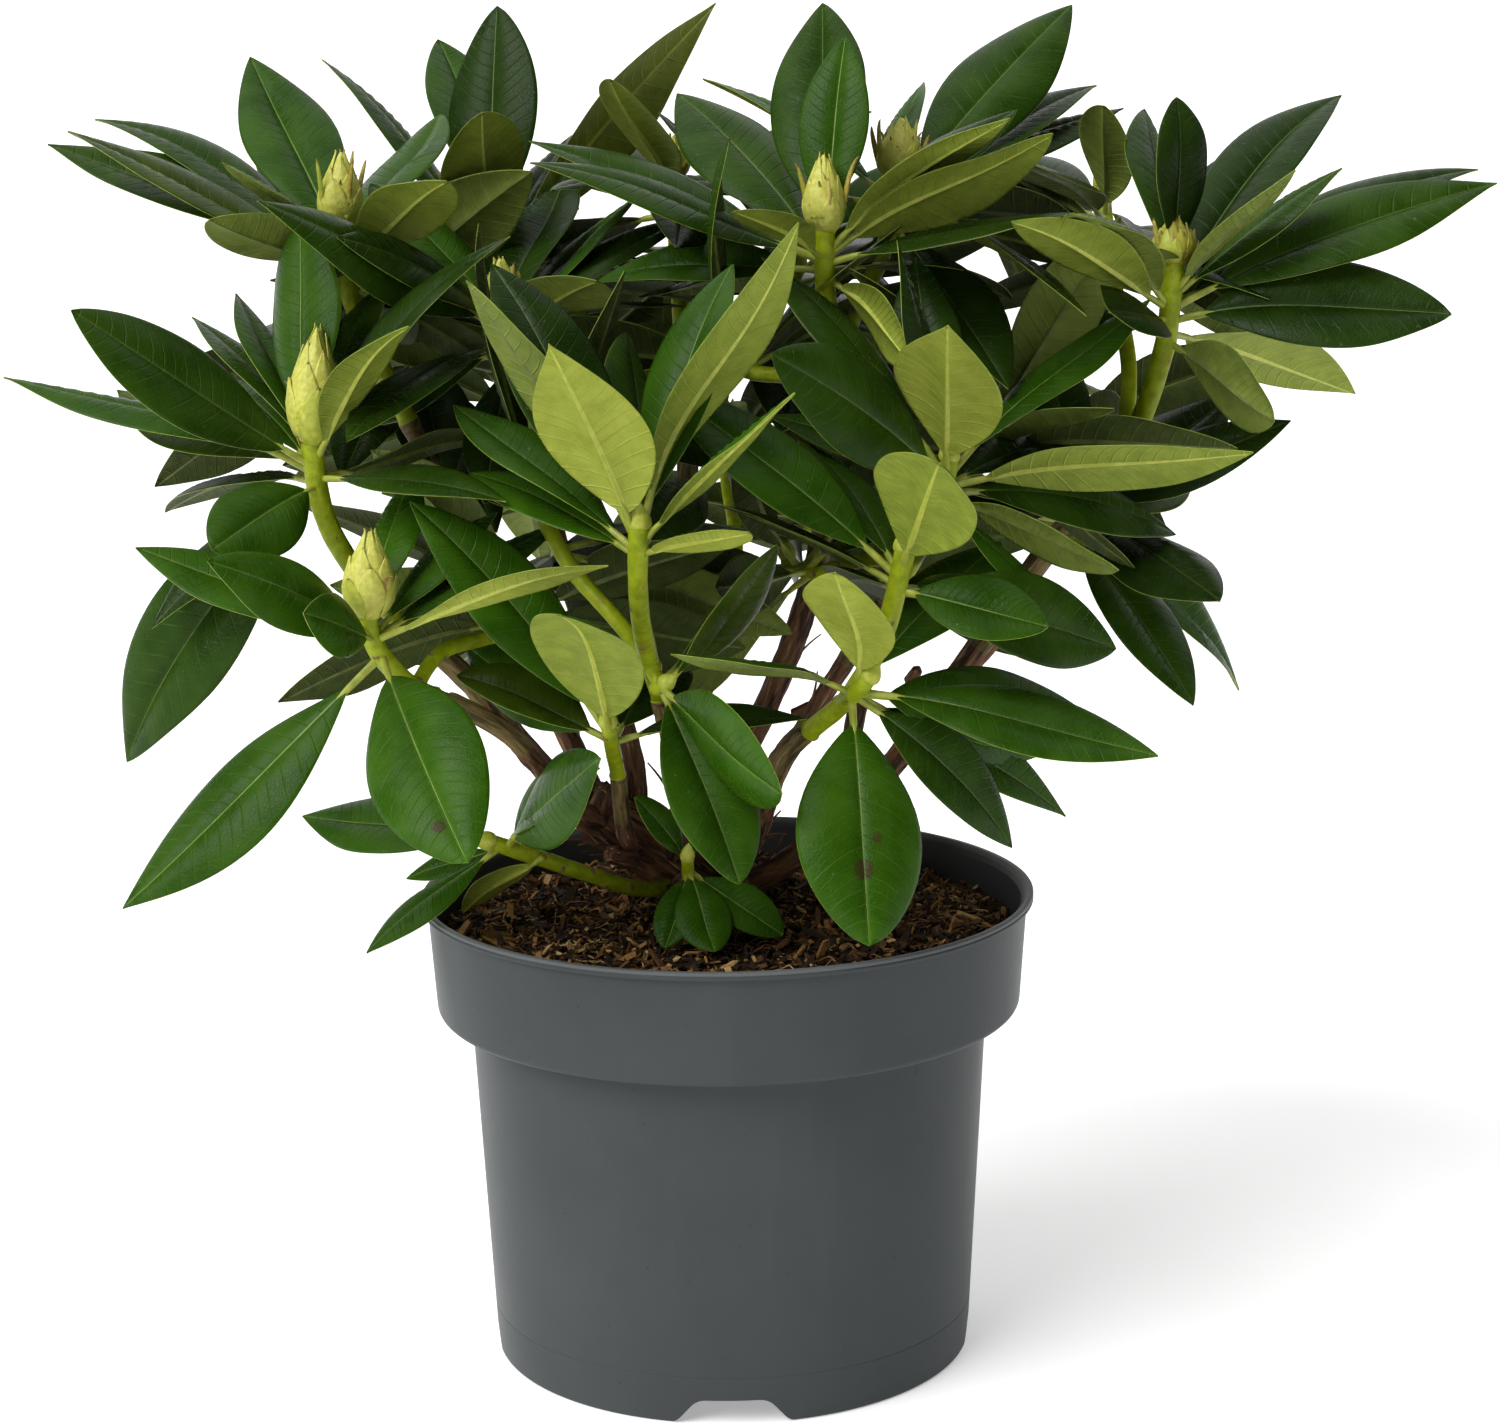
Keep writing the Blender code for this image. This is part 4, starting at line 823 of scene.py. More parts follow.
def place_by_rule(garden, twig, number, count, rule):
    """Leaves a golden turn apart: those of the whorl get lower one by one, older ones as they fall."""
    seed, tilts, lengths, spread = rule
    chance = random.Random(number * 1000 + seed)
    phase = chance.uniform(0, math.tau)
    side = twig["axis"].orthogonal().normalized()
    for index in range(count):
        share = index / max(1, count - 1) if rule is WHORL else chance.random()
        tilt = tilts[0] + (tilts[1] - tilts[0]) * share
        length = chance.uniform(*lengths)
        width = length * chance.uniform(*RULE_SLIMNESS)
        bend = chance.uniform(*LEAF_BENDS)
        roll = chance.uniform(-RULE_ROLL, RULE_ROLL)
        out = side.copy()
        out.rotate(Matrix.Rotation(phase + index * GOLDEN_TURN, 3, twig["axis"]))
        way = (twig["axis"] * math.cos(tilt) + out * math.sin(tilt)).normalized()
        for turn, lean in nudges(RULE_TRIES):
            leaf = new_leaf(twig, turned_way(way, twig["axis"], turn, lean), length, width, bend, roll)
            near = any(leaf["frame"][0].angle(other["frame"][0]) < spread for other in garden.leaves
                       if other["twig"] == number)
            if not near and in_crown(leaf_point(leaf, 1.0)) and over_pot(leaf) and garden.clear(leaf):
                garden.place(leaf, number)
                break


# %% Place the leaves
def tube_mesh(points, radii):
    """A tapering round limb: a curve with a bevel and filled caps, made into a mesh."""
    curve = bpy.data.curves.new("guide", "CURVE")
    curve.dimensions = "3D"
    curve.bevel_depth = 1.0
    curve.bevel_resolution = 2
    curve.use_fill_caps = True
    spline = curve.splines.new("POLY")
    spline.points.add(len(points) - 1)
    for slot, point, radius in zip(spline.points, points, radii):
        slot.co = (*point, 1)
        slot.radius = radius
    holder = bpy.data.objects.new("guide", curve)
    bpy.context.scene.collection.objects.link(holder)
    bpy.context.view_layer.update()
    mesh = bpy.data.meshes.new_from_object(holder.evaluated_get(bpy.context.evaluated_depsgraph_get()))
    bpy.data.objects.remove(holder)
    bpy.data.curves.remove(curve)
    shape = bmesh.new()
    shape.from_mesh(mesh)
    bmesh.ops.remove_doubles(shape, verts=shape.verts, dist=0.00001)
    shape.to_mesh(mesh)
    shape.free()
    return mesh


def bud_mesh(twig, grow=0.0):
    """A flower bud: an egg shape that sits on the shoot's tip and ends in a point."""
    length, radius = (value * 0.001 + grow for value in twig["bud"])
    shape = bmesh.new()
    bmesh.ops.create_uvsphere(shape, u_segments=6, v_segments=5, radius=1.0)
    turn = twig["axis"].to_track_quat("Z", "Y")
    for vertex in shape.verts:
        height = (vertex.co.z + 1) / 2
        slim = radius * (1 - BUD_NARROWING * height * height)
        up = height * (length + BUD_SINK) - BUD_SINK
        place = Vector((vertex.co.x * slim, vertex.co.y * slim, up))
        vertex.co = twig["path"][-1] + turn @ place
    mesh = bpy.data.meshes.new("bud")
    shape.to_mesh(mesh)
    shape.free()
    return mesh


def plan_leaves(limbs, twigs):
    solids = []
    for path, radii in list(limbs.values()) + [(twig["path"], twig["radii"]) for twig in twigs]:
        mesh = tube_mesh(path, radii)
        solids.append(tree_of_mesh(mesh))
        bpy.data.meshes.remove(mesh)
    garden = Garden(solids[:len(limbs)])
    for twig, tree in zip(twigs, solids[len(limbs):]):
        garden.others.append((twig["mass"], tree))
        if twig["bud"][0]:
            bud = bud_mesh(twig, LEAF_CLEARANCE)
            garden.others.append((twig["mass"], tree_of_mesh(bud)))
            bpy.data.meshes.remove(bud)
    for number, twig in enumerate(twigs):
        place_rows(garden, twig, number)
    for number, twig in enumerate(twigs):
        place_by_rule(garden, twig, number, twig["count"], WHORL)
    return garden


garden = plan_leaves(limbs, twigs)
single = sum(len(twig["rows"]) for twig in twigs) - len(garden.skipped)
planned = len(garden.leaves)
for number, twig in enumerate(twigs):
    if twig["count"] > 1:
        count = OLDER_COUNT if twig["count"] > 2 else OLDER_COUNT_OF_PAIRS
        place_by_rule(garden, twig, number, count, OLDER)

# One small leaf of the left sprout hangs inside the pot and shows its back
LOW_ROOT, LOW_TIP = (-67, -30, 197), (-99, -14, 172)
LOW_WIDTH, LOW_BEND, LOW_SHOWN = 0.017, 0.4, -0.7

low_root = mm(LOW_ROOT)
low_way = mm(LOW_TIP) - low_root
low_leaf = new_leaf(twigs[-1], low_way.normalized(), low_way.length, LOW_WIDTH, LOW_BEND, 0.0, LOW_SHOWN)
low_leaf.update(root=low_root, twig=len(twigs) - 1, shows="back_pale")
garden.leaves.append(low_leaf)
print("leaves given one by one:", single, "by the rule:", planned - single,
      "more:", len(garden.leaves) - planned, "left out:", garden.skipped)

# %% [markdown]
# ## The pot
# A five litre nursery pot is moulded in one go from grey plastic, so it is round, thin and has no
# sharp corner anywhere. A lathe is the way to make it: a profile of corners, each with the radius of
# its rounding, is swept round the upright axis. Two beads run round the lip, and a fine seam runs
# near the foot where the mould parts.

# %% Profile of the pot
WALL = 0.0022
LIP_HEIGHT = 0.0032
BAND_TOP_RADIUS = 0.1125
BAND_FOOT_RADIUS = 0.1098
BAND_HEIGHT = 0.0434
BODY_TOP_RADIUS = 0.0974
BASE_RADIUS = 0.0904
FLOOR_THICKNESS = 0.011
SEAM_HEIGHT = 0.0180
SEAM_DEPTH = 0.00022
ROUNDING_STEPS = 5
POT_SIDES = 224


def inner_radius(height):
    """The pot's inner radius at a height above its underside."""
    ledge = POT_HEIGHT - BAND_HEIGHT + WALL
    if height < ledge:
        return BASE_RADIUS - WALL + (BODY_TOP_RADIUS - BASE_RADIUS) * height / ledge
    share = (height - ledge) / (POT_HEIGHT - LIP_HEIGHT - ledge)
    return BAND_FOOT_RADIUS - WALL + (BAND_TOP_RADIUS - BAND_FOOT_RADIUS) * share


def rounded(corners):
    """The corners of a line, each (across, up, radius), with every corner eased by its radius."""
    line = []
    for index, (across, up, radius) in enumerate(corners):
        here = Vector((across, up))
        if not radius or index in (0, len(corners) - 1):
            line.append(here)
            continue
        before = Vector(corners[index - 1][:2]) - here
        after = Vector(corners[index + 1][:2]) - here
        first = here + before * min(0.5, radius / before.length)
        last = here + after * min(0.5, radius / after.length)
        for step in range(ROUNDING_STEPS + 1):
            t = step / ROUNDING_STEPS
            line.append(first * (1 - t) ** 2 + here * (2 * t * (1 - t)) + last * t ** 2)
    return line


def body_radius(height):
    """The outer radius of the wall below the band."""
    return BASE_RADIUS + (BODY_TOP_RADIUS - BASE_RADIUS) * height / (POT_HEIGHT - BAND_HEIGHT)


step = POT_HEIGHT - BAND_HEIGHT
ledge = step + WALL
lip_foot = POT_HEIGHT - LIP_HEIGHT
lip_middle = POT_HEIGHT - LIP_HEIGHT * 0.52
POT_CORNERS = [
    (0, FLOOR_THICKNESS, 0), (inner_radius(FLOOR_THICKNESS), FLOOR_THICKNESS, 0.003),
    (inner_radius(ledge - 1e-6), ledge, 0.0014), (inner_radius(ledge), ledge, 0.0024),
    (inner_radius(lip_foot), lip_foot, 0.0006), (RIM_RADIUS - WALL, POT_HEIGHT, 0.0009),
    (RIM_RADIUS, POT_HEIGHT, 0.0011), (RIM_RADIUS, lip_middle + 0.0003, 0.0003),
    (RIM_RADIUS - 0.0004, lip_middle, 0.0002), (RIM_RADIUS, lip_middle - 0.0003, 0.0003),
    (RIM_RADIUS, lip_foot, 0.0008), (BAND_TOP_RADIUS + 0.0001, lip_foot - 0.0002, 0.0005),
    (BAND_FOOT_RADIUS, step, 0.0030), (BODY_TOP_RADIUS, step, 0.0012),
    (body_radius(SEAM_HEIGHT + 0.0004), SEAM_HEIGHT + 0.0004, 0.0002),
    (body_radius(SEAM_HEIGHT) - SEAM_DEPTH, SEAM_HEIGHT, 0.0002),
    (body_radius(SEAM_HEIGHT - 0.0004), SEAM_HEIGHT - 0.0004, 0.0002), (BASE_RADIUS, 0, 0.0016), (0, 0, 0)]


def lathe(line, sides):
    """Points and faces of a closed turned shape whose line starts and ends on the axis."""
    ring = np.arange(sides) * math.tau / sides
    inner = np.array([tuple(point) for point in line[1:-1]])
    points = np.stack([inner[:, :1] * np.cos(ring), inner[:, :1] * np.sin(ring),
                       np.repeat(inner[:, 1:], sides, axis=1)], axis=2).reshape(-1, 3)
    points = np.concatenate([points, [(0, 0, line[0][1]), (0, 0, line[-1][1])]])
    return points, tube_faces(len(inner), sides)


print("profile points:", len(rounded(POT_CORNERS)))

# %% [markdown]
# The plastic is a cool grey. It is neither glossy nor dull: the wide soft lights give it a broad
# sheen, and near its outline it mirrors the pale floor. Close to, it is slightly blotched and
# streaked, with a grain too fine to see and a few dark specks. A highlight is painted along the top of its
# lip, which is paler there.

# %% Plastic
# Heights between which the top of the lip is painted paler, as a highlight
PAINTED_LIP_HIGHLIGHT = (POT_HEIGHT - 0.0022, POT_HEIGHT - 0.0010)

plastic = Finish("plastic", ior=1.46, specular_ior_level=0.09)
cloud = plastic.speckle(14, 4)
streak = plastic.speckle(1, 3, where=plastic.place(60, (1, 1, 0.12)))
speck = plastic.span(plastic.speckle(420, 2), 0.71, 0.78)
grey = plastic.blend(plastic.span(cloud, 0.3, 0.7), (0.050, 0.056, 0.058), (0.058, 0.065, 0.067))
grey = plastic.blend(plastic.span(streak, 0.55, 0.75) * 0.12, grey, (0.082, 0.089, 0.091))
grey = plastic.blend(speck * 0.6, grey, (0.030, 0.030, 0.028))
height = plastic.parts(plastic.place())[2]
# Painted highlight: the top of the lip is blended towards a pale grey
grey = plastic.blend(plastic.span(height, *PAINTED_LIP_HIGHLIGHT) * 0.7, grey, (0.130, 0.138, 0.140))
grain = plastic.relief(plastic.speckle(900, 2), 0.00006)
plastic.wire(base_color=grey, roughness=plastic.span(cloud, 0.3, 0.7, 0.36, 0.46), normal=grain)

# %% [markdown]
# The four notches in the foot let water out. They are cut with a rounded wedge, turned to each side.
# The cut is applied at once, so the pot stays one plain mesh.

# %% Make the pot
NOTCH_CORNERS = [
    (-0.034, -0.0006, 0), (-0.0215, -0.0006, 0.0042), (-0.0130, 0.0094, 0.0034), (0.0130, 0.0094, 0.0034),
    (0.0215, -0.0006, 0.0042), (0.034, -0.0006, 0), (0.034, -0.006, 0), (-0.034, -0.006, 0)]
NOTCH_COUNT = 4
NOTCH_DEPTH = 0.030

pot_heap = Heap()
pot_heap.add(*lathe(rounded(POT_CORNERS), POT_SIDES), 0)
pot = pot_heap.piece("nursery_pot", [plastic], "pot", ["pot"])
outline = rounded(NOTCH_CORNERS)
wedge_mesh = bpy.data.meshes.new("wedge")
ends = [-(BASE_RADIUS + 0.006), -(BASE_RADIUS - NOTCH_DEPTH)]
count = len(outline)
sides = [(i, (i + 1) % count, count + (i + 1) % count, count + i) for i in range(count)]
wedge_mesh.from_pydata([(point[0], end, point[1]) for end in ends for point in outline], [],
                       [*sides, tuple(range(count))[::-1], tuple(range(count, 2 * count))])
wedges = []
for index in range(NOTCH_COUNT):
    wedge = bpy.data.objects.new("wedge", wedge_mesh)
    wedge.rotation_euler.z = math.tau * index / NOTCH_COUNT
    bpy.context.scene.collection.objects.link(wedge)
    cut = pot.modifiers.new("notch", "BOOLEAN")
    cut.operation = "DIFFERENCE"
    cut.object = wedge
    wedges.append(wedge)
bpy.context.view_layer.update()
cut_mesh = bpy.data.meshes.new_from_object(pot.evaluated_get(bpy.context.evaluated_depsgraph_get()))
pot.modifiers.clear()
pot.data = cut_mesh
for wedge in wedges:
    bpy.data.objects.remove(wedge)
pot.data.set_sharp_from_angle(angle=math.radians(38))
print("pot:", len(pot.data.polygons), "faces")

# %% [markdown]
# ## The potting mix
# The top of the mix is a bed of dark peat with pale shreds of bark and coconut fibre lying every
# way. One relief cannot give that look, so there are three layers: a bed with lumps worked into its
# points, a few thousand flat chips strewn over it, and thin curved fibres on top.

# %% Bed of peat
SOIL_EDGE = 0.1615
SOIL_FLAT_RADIUS = 0.045
SOIL_KNEE_RADIUS = 0.080
SOIL_KNEE_DROP = 0.0015
SOIL_SLACK = 0.0008
LUMP = 0.0032
# Coarse and fine lumps: waves per metre, roughness, step between octaves, octaves and share
LUMPS = ((130, 0.6, 2.2, 4, 0.6), (42, 0.7, 2.0, 2, 0.5))
BED_ROWS = 119
BED_SIDES = 260
BED_DEPTH = 0.02
# Rings down the side of the bed, each with its height and how far it is drawn in
SIDE_RINGS = ((ledge + 0.001, 0.0), (ledge + 0.0004, 0.002), (ledge - 0.003, 0.0125), (BED_DEPTH, 0.0145))


def soil_height(x, y):
    """The height of the bed, lumps included."""
    radius = math.hypot(x, y)
    edge = inner_radius(SOIL_EDGE)
    low = np.interp(radius, [SOIL_FLAT_RADIUS, SOIL_KNEE_RADIUS, edge - 0.004, edge],
                    [SOIL_TOP, SOIL_TOP - SOIL_KNEE_DROP, SOIL_EDGE + 0.0008, SOIL_EDGE])
    spot = Vector((x, y, 0))
    lumps = sum(noise.fractal(spot * waves, *settings) * share for waves, *settings, share in LUMPS)
    return low + lumps * LUMP


bed_radius = inner_radius(SOIL_EDGE) - SOIL_SLACK
bed_angles = [side * math.tau / BED_SIDES for side in range(BED_SIDES)]
ring = [(math.cos(angle), math.sin(angle)) for angle in bed_angles]
bed = []
for row in range(1, BED_ROWS + 1):
    radius = bed_radius * row / BED_ROWS
    bed += [(radius * x, radius * y, soil_height(radius * x, radius * y)) for x, y in ring]
for height, narrower in SIDE_RINGS:
    reach = min(inner_radius(height) - SOIL_SLACK, bed_radius - narrower)
    bed += [(reach * x, reach * y, height) for x, y in ring]
bed += [(0, 0, soil_height(0, 0)), (0, 0, BED_DEPTH)]

peat = Finish("peat", roughness=0.95, specular_ior_level=0.25)
clod = peat.speckle(260, 5, 0.7)
brown = peat.blend(peat.span(clod, 0.35, 0.65), (0.007, 0.0040, 0.0022), (0.042, 0.022, 0.010))
crumb = peat.span(peat.speckle(800, 3), 0.60, 0.72)
brown = peat.blend(crumb * 0.6, brown, (0.16, 0.090, 0.036))
peat.wire(base_color=brown, normal=peat.relief(peat.speckle(700, 6, 0.7), 0.0012))

bed_heap = Heap()
bed_heap.add(bed, tube_faces(BED_ROWS + len(SIDE_RINGS), BED_SIDES, flip=True), 0)
bed_heap.piece("peat_bed", [peat], "potting_mix", ["potting_mix"])

# %% [markdown]
# Each chip is a box with its corners pushed about, longer than it is wide, and lies roughly flat.
# Each fibre is a thin sweep along a bent line. Their colours run from dark peat to fresh bark, and
# are dealt out one by one: most chips are dark and a few pale, and the fibres are paler.

# %% Chips and fibres
CHIP_COUNT = 4200
FIBRE_COUNT = 900
CHIP_COLOURS = [((0.016, 0.008, 0.004), (0.036, 0.017, 0.007)), ((0.070, 0.032, 0.010), (0.13, 0.060, 0.020)),
                ((0.24, 0.115, 0.034), (0.36, 0.185, 0.060)), ((0.42, 0.250, 0.095), (0.60, 0.40, 0.19))]
CHIP_ODDS = (46, 30, 18, 6)
FIBRE_ODDS = (10, 30, 40, 20)
CHIP_LENGTHS = (0.0024, 0.0074)
CHIP_WIDTHS = (0.12, 0.36)
CHIP_HEIGHTS = (0.08, 0.18)
CHIP_STRETCH = 1.8
FIBRE_LENGTHS = (0.006, 0.016)
FIBRE_RADII = (0.00018, 0.00046)
SOIL_MARGIN = 0.001
LONG_CHIPS = 0.12
BOX_FACES = np.array([(0, 2, 3, 1), (4, 5, 7, 6), (0, 1, 5, 4), (2, 6, 7, 3), (0, 4, 6, 2), (1, 3, 7, 5)])

chip_finishes = []
for index, (dark, light) in enumerate(CHIP_COLOURS):
    chip_finishes.append(streaked("chip_%d" % index, dark, light, 900, 4, 0.0004,
                                  roughness=0.85, specular_ior_level=0.3))
chance = random.Random(5)
chips = Heap()
fibres = Heap()


def spot_on_soil(chance, margin):
    """A place on the bed, spread evenly over it."""
    radius = math.sqrt(chance.random()) * (bed_radius - margin)
    angle = chance.uniform(0, math.tau)
    return radius * math.cos(angle), radius * math.sin(angle)


for _ in range(CHIP_COUNT):
    length = chance.uniform(*CHIP_LENGTHS) * (CHIP_STRETCH if chance.random() < LONG_CHIPS else 1.0)
    size = Vector((length, length * chance.uniform(*CHIP_WIDTHS), length * chance.uniform(*CHIP_HEIGHTS))) / 2
    x, y = spot_on_soil(chance, length / 2 + SOIL_MARGIN)
    turn = Matrix.Rotation(chance.uniform(0, math.tau), 3, "Z")
    turn = turn @ Matrix.Rotation(chance.gauss(0, 0.52), 3, "Y")
    turn = turn @ Matrix.Rotation(chance.gauss(0, 0.5), 3, "X")
    place = Vector((x, y, soil_height(x, y) + size.z * 0.7 + chance.uniform(0, 0.0012)))
    corners = []
    for corner in range(8):
        sign = Vector(((corner & 1) * 2 - 1, (corner & 2) - 1, (corner & 4) / 2 - 1))
        pushed = [size[i] * sign[i] * chance.uniform(0.55, 1.15) for i in range(3)]
        corners.append(place + turn @ Vector(pushed))
    chips.add([tuple(corner) for corner in corners], BOX_FACES, chance.choices(range(4), CHIP_ODDS)[0])

for _ in range(FIBRE_COUNT):
    length = chance.uniform(*FIBRE_LENGTHS)
    x, y = spot_on_soil(chance, length / 2 + SOIL_MARGIN)
    angle = chance.uniform(0, math.tau)
    curl = chance.gauss(0, 1.2)
    points = []
    here = Vector((x - math.cos(angle) * length / 2, y - math.sin(angle) * length / 2, 0))
    for index in range(6):
        arch = 0.0011 * math.sin(math.pi * index / 5) * chance.random()
        height = soil_height(here.x, here.y) + 0.0006 + arch
        points.append(Vector((here.x, here.y, height)))
        here = here + Vector((math.cos(angle), math.sin(angle), 0)) * (length / 5)
        angle += curl / 5
    if max(math.hypot(point.x, point.y) for point in points) > bed_radius - SOIL_SLACK:
        continue
    radius = chance.uniform(*FIBRE_RADII)
    tube, faces, _marks = sweep(points, np.linspace(radius, radius * 0.5, 6), 5)
    fibres.add(tube, faces, chance.choices(range(4), FIBRE_ODDS)[0])
chips.piece("bark_chips", chip_finishes, "potting_mix", flat=True)
fibres.piece("soil_fibres", chip_finishes, "potting_mix")

# %% [markdown]
# ## Bark
# The old wood is short, gnarled and reddish brown. Its bark comes off in long thin flakes, so its
# surface is all fine ridges that run along the limb. Each limb is swept along its path with many
# sides, and the relief is worked into the points: long ridges from noise that is stretched along
# the limb, and finer flakes across it. The boughs turn yellower as they near their shoots, so each
# face takes its finish from its distance along.

# %% Bark finishes
BARKS = [("old_bark", (0.026, 0.011, 0.005), (0.220, 0.100, 0.048), (0.52, 0.330, 0.195)),
         ("young_bark", (0.060, 0.040, 0.014), (0.200, 0.145, 0.050), (0.36, 0.270, 0.130))]
# Layers of the bark: waves per metre across and along, detail and roughness of the noise
BARK_LAYERS = [(420, 48, 6, 0.65), (900, 60, 3, 0.6), (260, 30, 3, 0.6)]
bark_finishes = []
for name, dark, light, flake in BARKS:
    rind = Finish(name, roughness=0.8, specular_ior_level=0.3)
    mark = rind.mark()
    layers = []
    for across, lengthways, detail, roughness in BARK_LAYERS:
        stretch = {"Vector": mark, "Scale": (across, across, lengthways)}
        layers.append(rind.speckle(1, detail, roughness, rind.node("ShaderNodeMapping", None, stretch)))
    fibre, strip, furrow = layers
    tone = rind.blend(rind.span(fibre, 0.32, 0.66), dark, light)
    tone = rind.blend(rind.span(strip, 0.57, 0.72) * 0.85, tone, flake)
    # Painted shade: the furrows, sunk in the relief, are darkened below the bark's dark tone
    tone = rind.blend(rind.span(furrow, 0.52, 0.62) * 0.85, tone, tuple(0.6 * value for value in dark))
    rind.wire(base_color=tone, roughness=rind.span(strip, 0.3, 0.7, 0.62, 0.9),
              normal=rind.relief(fibre * 0.7 + strip * 0.3 - furrow * 0.8, 0.0015))
    bark_finishes.append(rind)


# %% Limbs with relief
def smooth_path(points, pieces):
    """A finer path through the points of a coarse one."""
    ends = [points[0] * 2 - points[1], *points, points[-1] * 2 - points[-2]]
    fine = []
    for a, b, c, d in zip(ends, ends[1:], ends[2:], ends[3:]):
        for step in range(pieces):
            t = step / pieces
            fine.append((b * 2 + (c - a) * t + (a * 2 - b * 5 + c * 4 - d) * t ** 2
                         + (b * 3 - a - c * 3 + d) * t ** 3) * 0.5)
    return fine + [points[-1].copy()]


def fine_radii(radii, count):
    return np.interp(np.linspace(0, len(radii) - 1, count), range(len(radii)), radii)


def bark_relief(seed, rough):
    """Ridges along a limb, as a function of the angle round it, its radius and the run."""
    def relief(angles, radius, length):
        heights = []
        for angle in angles:
            spot = Vector((math.cos(angle) * 2.2 + seed * 7.3, math.sin(angle) * 2.2, length * 46))
            fine = Vector((math.cos(angle) * 7.0, math.sin(angle) * 7.0 + seed * 3.1, length * 62))
            ridge = 1 - 2 * abs(noise.noise(spot))
            flake = abs(noise.noise(fine)) + 0.6 * noise.noise(fine * 2.3)
            heights.append(ridge * 0.10 + flake * 0.12)
        return np.array(heights) * radius * rough
    return relief


# For the trunk and for a bough: pieces, slimness, sides, roughness and the share that has old bark
TRUNK_SKIN = (9, 0.94, 64, 2.1, 2.0)
BOUGH_SKIN = (8, 0.93, 30, 1.6, 0.62)

wood = Heap()
for number, (name, (path, radii)) in enumerate(limbs.items()):
    pieces, slimness, sides, rough, old_share = TRUNK_SKIN if name == "trunk" else BOUGH_SKIN
    fine = smooth_path(path, pieces)
    wide = fine_radii(radii, len(fine)) * slimness
    points, faces, marks = sweep(fine, wide, sides, 1.0, bark_relief(number, rough))
    share = np.arange(len(faces)) / (len(fine) - 1) / sides
    wood.add(points, faces, np.where(share < old_share, 0, 1), marks)
print("limbs swept")

# %% [markdown]
# A plant that has been cut back keeps broken stubs and strips of bark that hang loose. They are
# short sweeps with a ragged end, and thin curled ribbons.

# %% Stubs and loose strips
# Each stub: its foot, its direction, its length and its radius, in millimetres
STUBS = [((-36, -4, 190), (-0.5, -0.8, 0.25), 15, 3.4), ((-18, 4, 176), (0.2, -1.0, 0.5), 17, 3.0),
         ((-48, 6, 204), (0.3, -0.6, 1.0), 14, 3.6), ((-8, 12, 168), (0.7, -0.7, 0.5), 13, 2.6),
         ((-44, 20, 200), (-0.8, 0.6, 0.5), 12, 3.0), ((-22, 24, 184), (0.2, 0.9, 0.5), 12, 2.6),
         ((30, -2, 206), (0.3, -0.6, 0.8), 9, 2.0), ((26, 14, 240), (0.8, -0.3, 0.5), 8, 1.8),
         ((-86, -20, 262), (-0.2, -0.9, 0.6), 9, 2.0), ((70, 16, 252), (0.3, -0.8, 0.7), 9, 2.0)]
STUB_END = 0.72
STRIP_COUNT = 90
STRIP_STEPS = 8
STRIP_LENGTHS = (0.007, 0.021)
STRIP_CURLS = (0.6, 2.2)
STRIP_WIDTHS = (0.0005, 0.0013)


def standing_out(way, chance):
    """A direction square to a limb, turned round it by chance."""
    out = way.orthogonal().normalized()
    out.rotate(Matrix.Rotation(chance.uniform(0, math.tau), 3, way))
    return out


for number, (start, way, length, radius) in enumerate(STUBS):
    start, way = mm(start), Vector(way).normalized()
    line = [start + way * (length * 0.001 * step / 8) for step in range(9)]
    wide = [radius * 0.001 * (1.15 - 0.25 * step / 8) for step in range(9)]
    wide[-1] *= STUB_END
    points, faces, marks = sweep(line, wide, 18, 1.0, bark_relief(40 + number, 1.5))
    wood.add(points, faces, 0, marks)

chance = random.Random(11)
strips = Heap()
# The low bough at the back is smooth
limb_names = [name for name in limbs if name != "bough_rear_low"]
for _ in range(STRIP_COUNT):
    name = "trunk" if chance.random() < 0.5 else chance.choice(limb_names)
    path, radii = limbs[name]
    share = chance.uniform(0.32, 0.95) if name == "trunk" else chance.uniform(0.05, 0.5)
    centre, way = along(path, share)
    out = standing_out(way, chance)
    reach = np.interp(share * (len(radii) - 1), range(len(radii)), radii)
    length = chance.uniform(*STRIP_LENGTHS)
    curl = chance.uniform(*STRIP_CURLS)
    runs = [step / (STRIP_STEPS - 1) for step in range(STRIP_STEPS)]
    line = [centre + out * (reach * 0.95 + length * 0.28 * t * t * curl) + way * (length * t) for t in runs]
    width = chance.uniform(*STRIP_WIDTHS)
    points, faces, marks = sweep(line, [width * (1 - 0.6 * t) for t in runs], 6, 0.3)
    strips.add(points, faces, chance.choice((0, 0, 1)), marks)
wood.piece("old_wood", bark_finishes, "bark", list(limbs))
strips.piece("loose_bark", bark_finishes, "bark")

# %% [markdown]
# ## Shoots
# This year's shoots are green and smooth, with a small round scar where each old leaf fell. They
# are swept like the limbs, thinner, and swell a little where this year's green wood begins.

# %% Shoots
stem_green = Finish("stem_green", roughness=0.42, specular_ior_level=0.2)
streaky = stem_green.speckle(260, 4)
tone = stem_green.blend(stem_green.span(streaky, 0.3, 0.7), (0.205, 0.265, 0.003), (0.320, 0.380, 0.010))
blushes = stem_green.span(stem_green.speckle(130, 3), 0.62, 0.74)
tone = stem_green.blend(blushes * 0.55, tone, (0.17, 0.095, 0.030))
stem_green.wire(base_color=tone, normal=stem_green.relief(streaky, 0.0004))
stem_brown = Finish("stem_brown", roughness=0.7, specular_ior_level=0.3)
streaky = stem_brown.speckle(420, 5, 0.65)
tone = stem_brown.blend(stem_brown.span(streaky, 0.3, 0.7), (0.080, 0.050, 0.022), (0.210, 0.140, 0.060))
stem_brown.wire(base_color=tone, normal=stem_brown.relief(streaky, 0.0008))
leaf_scar = Finish("leaf_scar", roughness=0.8)
leaf_scar.wire(base_color=leaf_scar.blend(leaf_scar.speckle(600), (0.10, 0.055, 0.025), (0.26, 0.170, 0.080)))

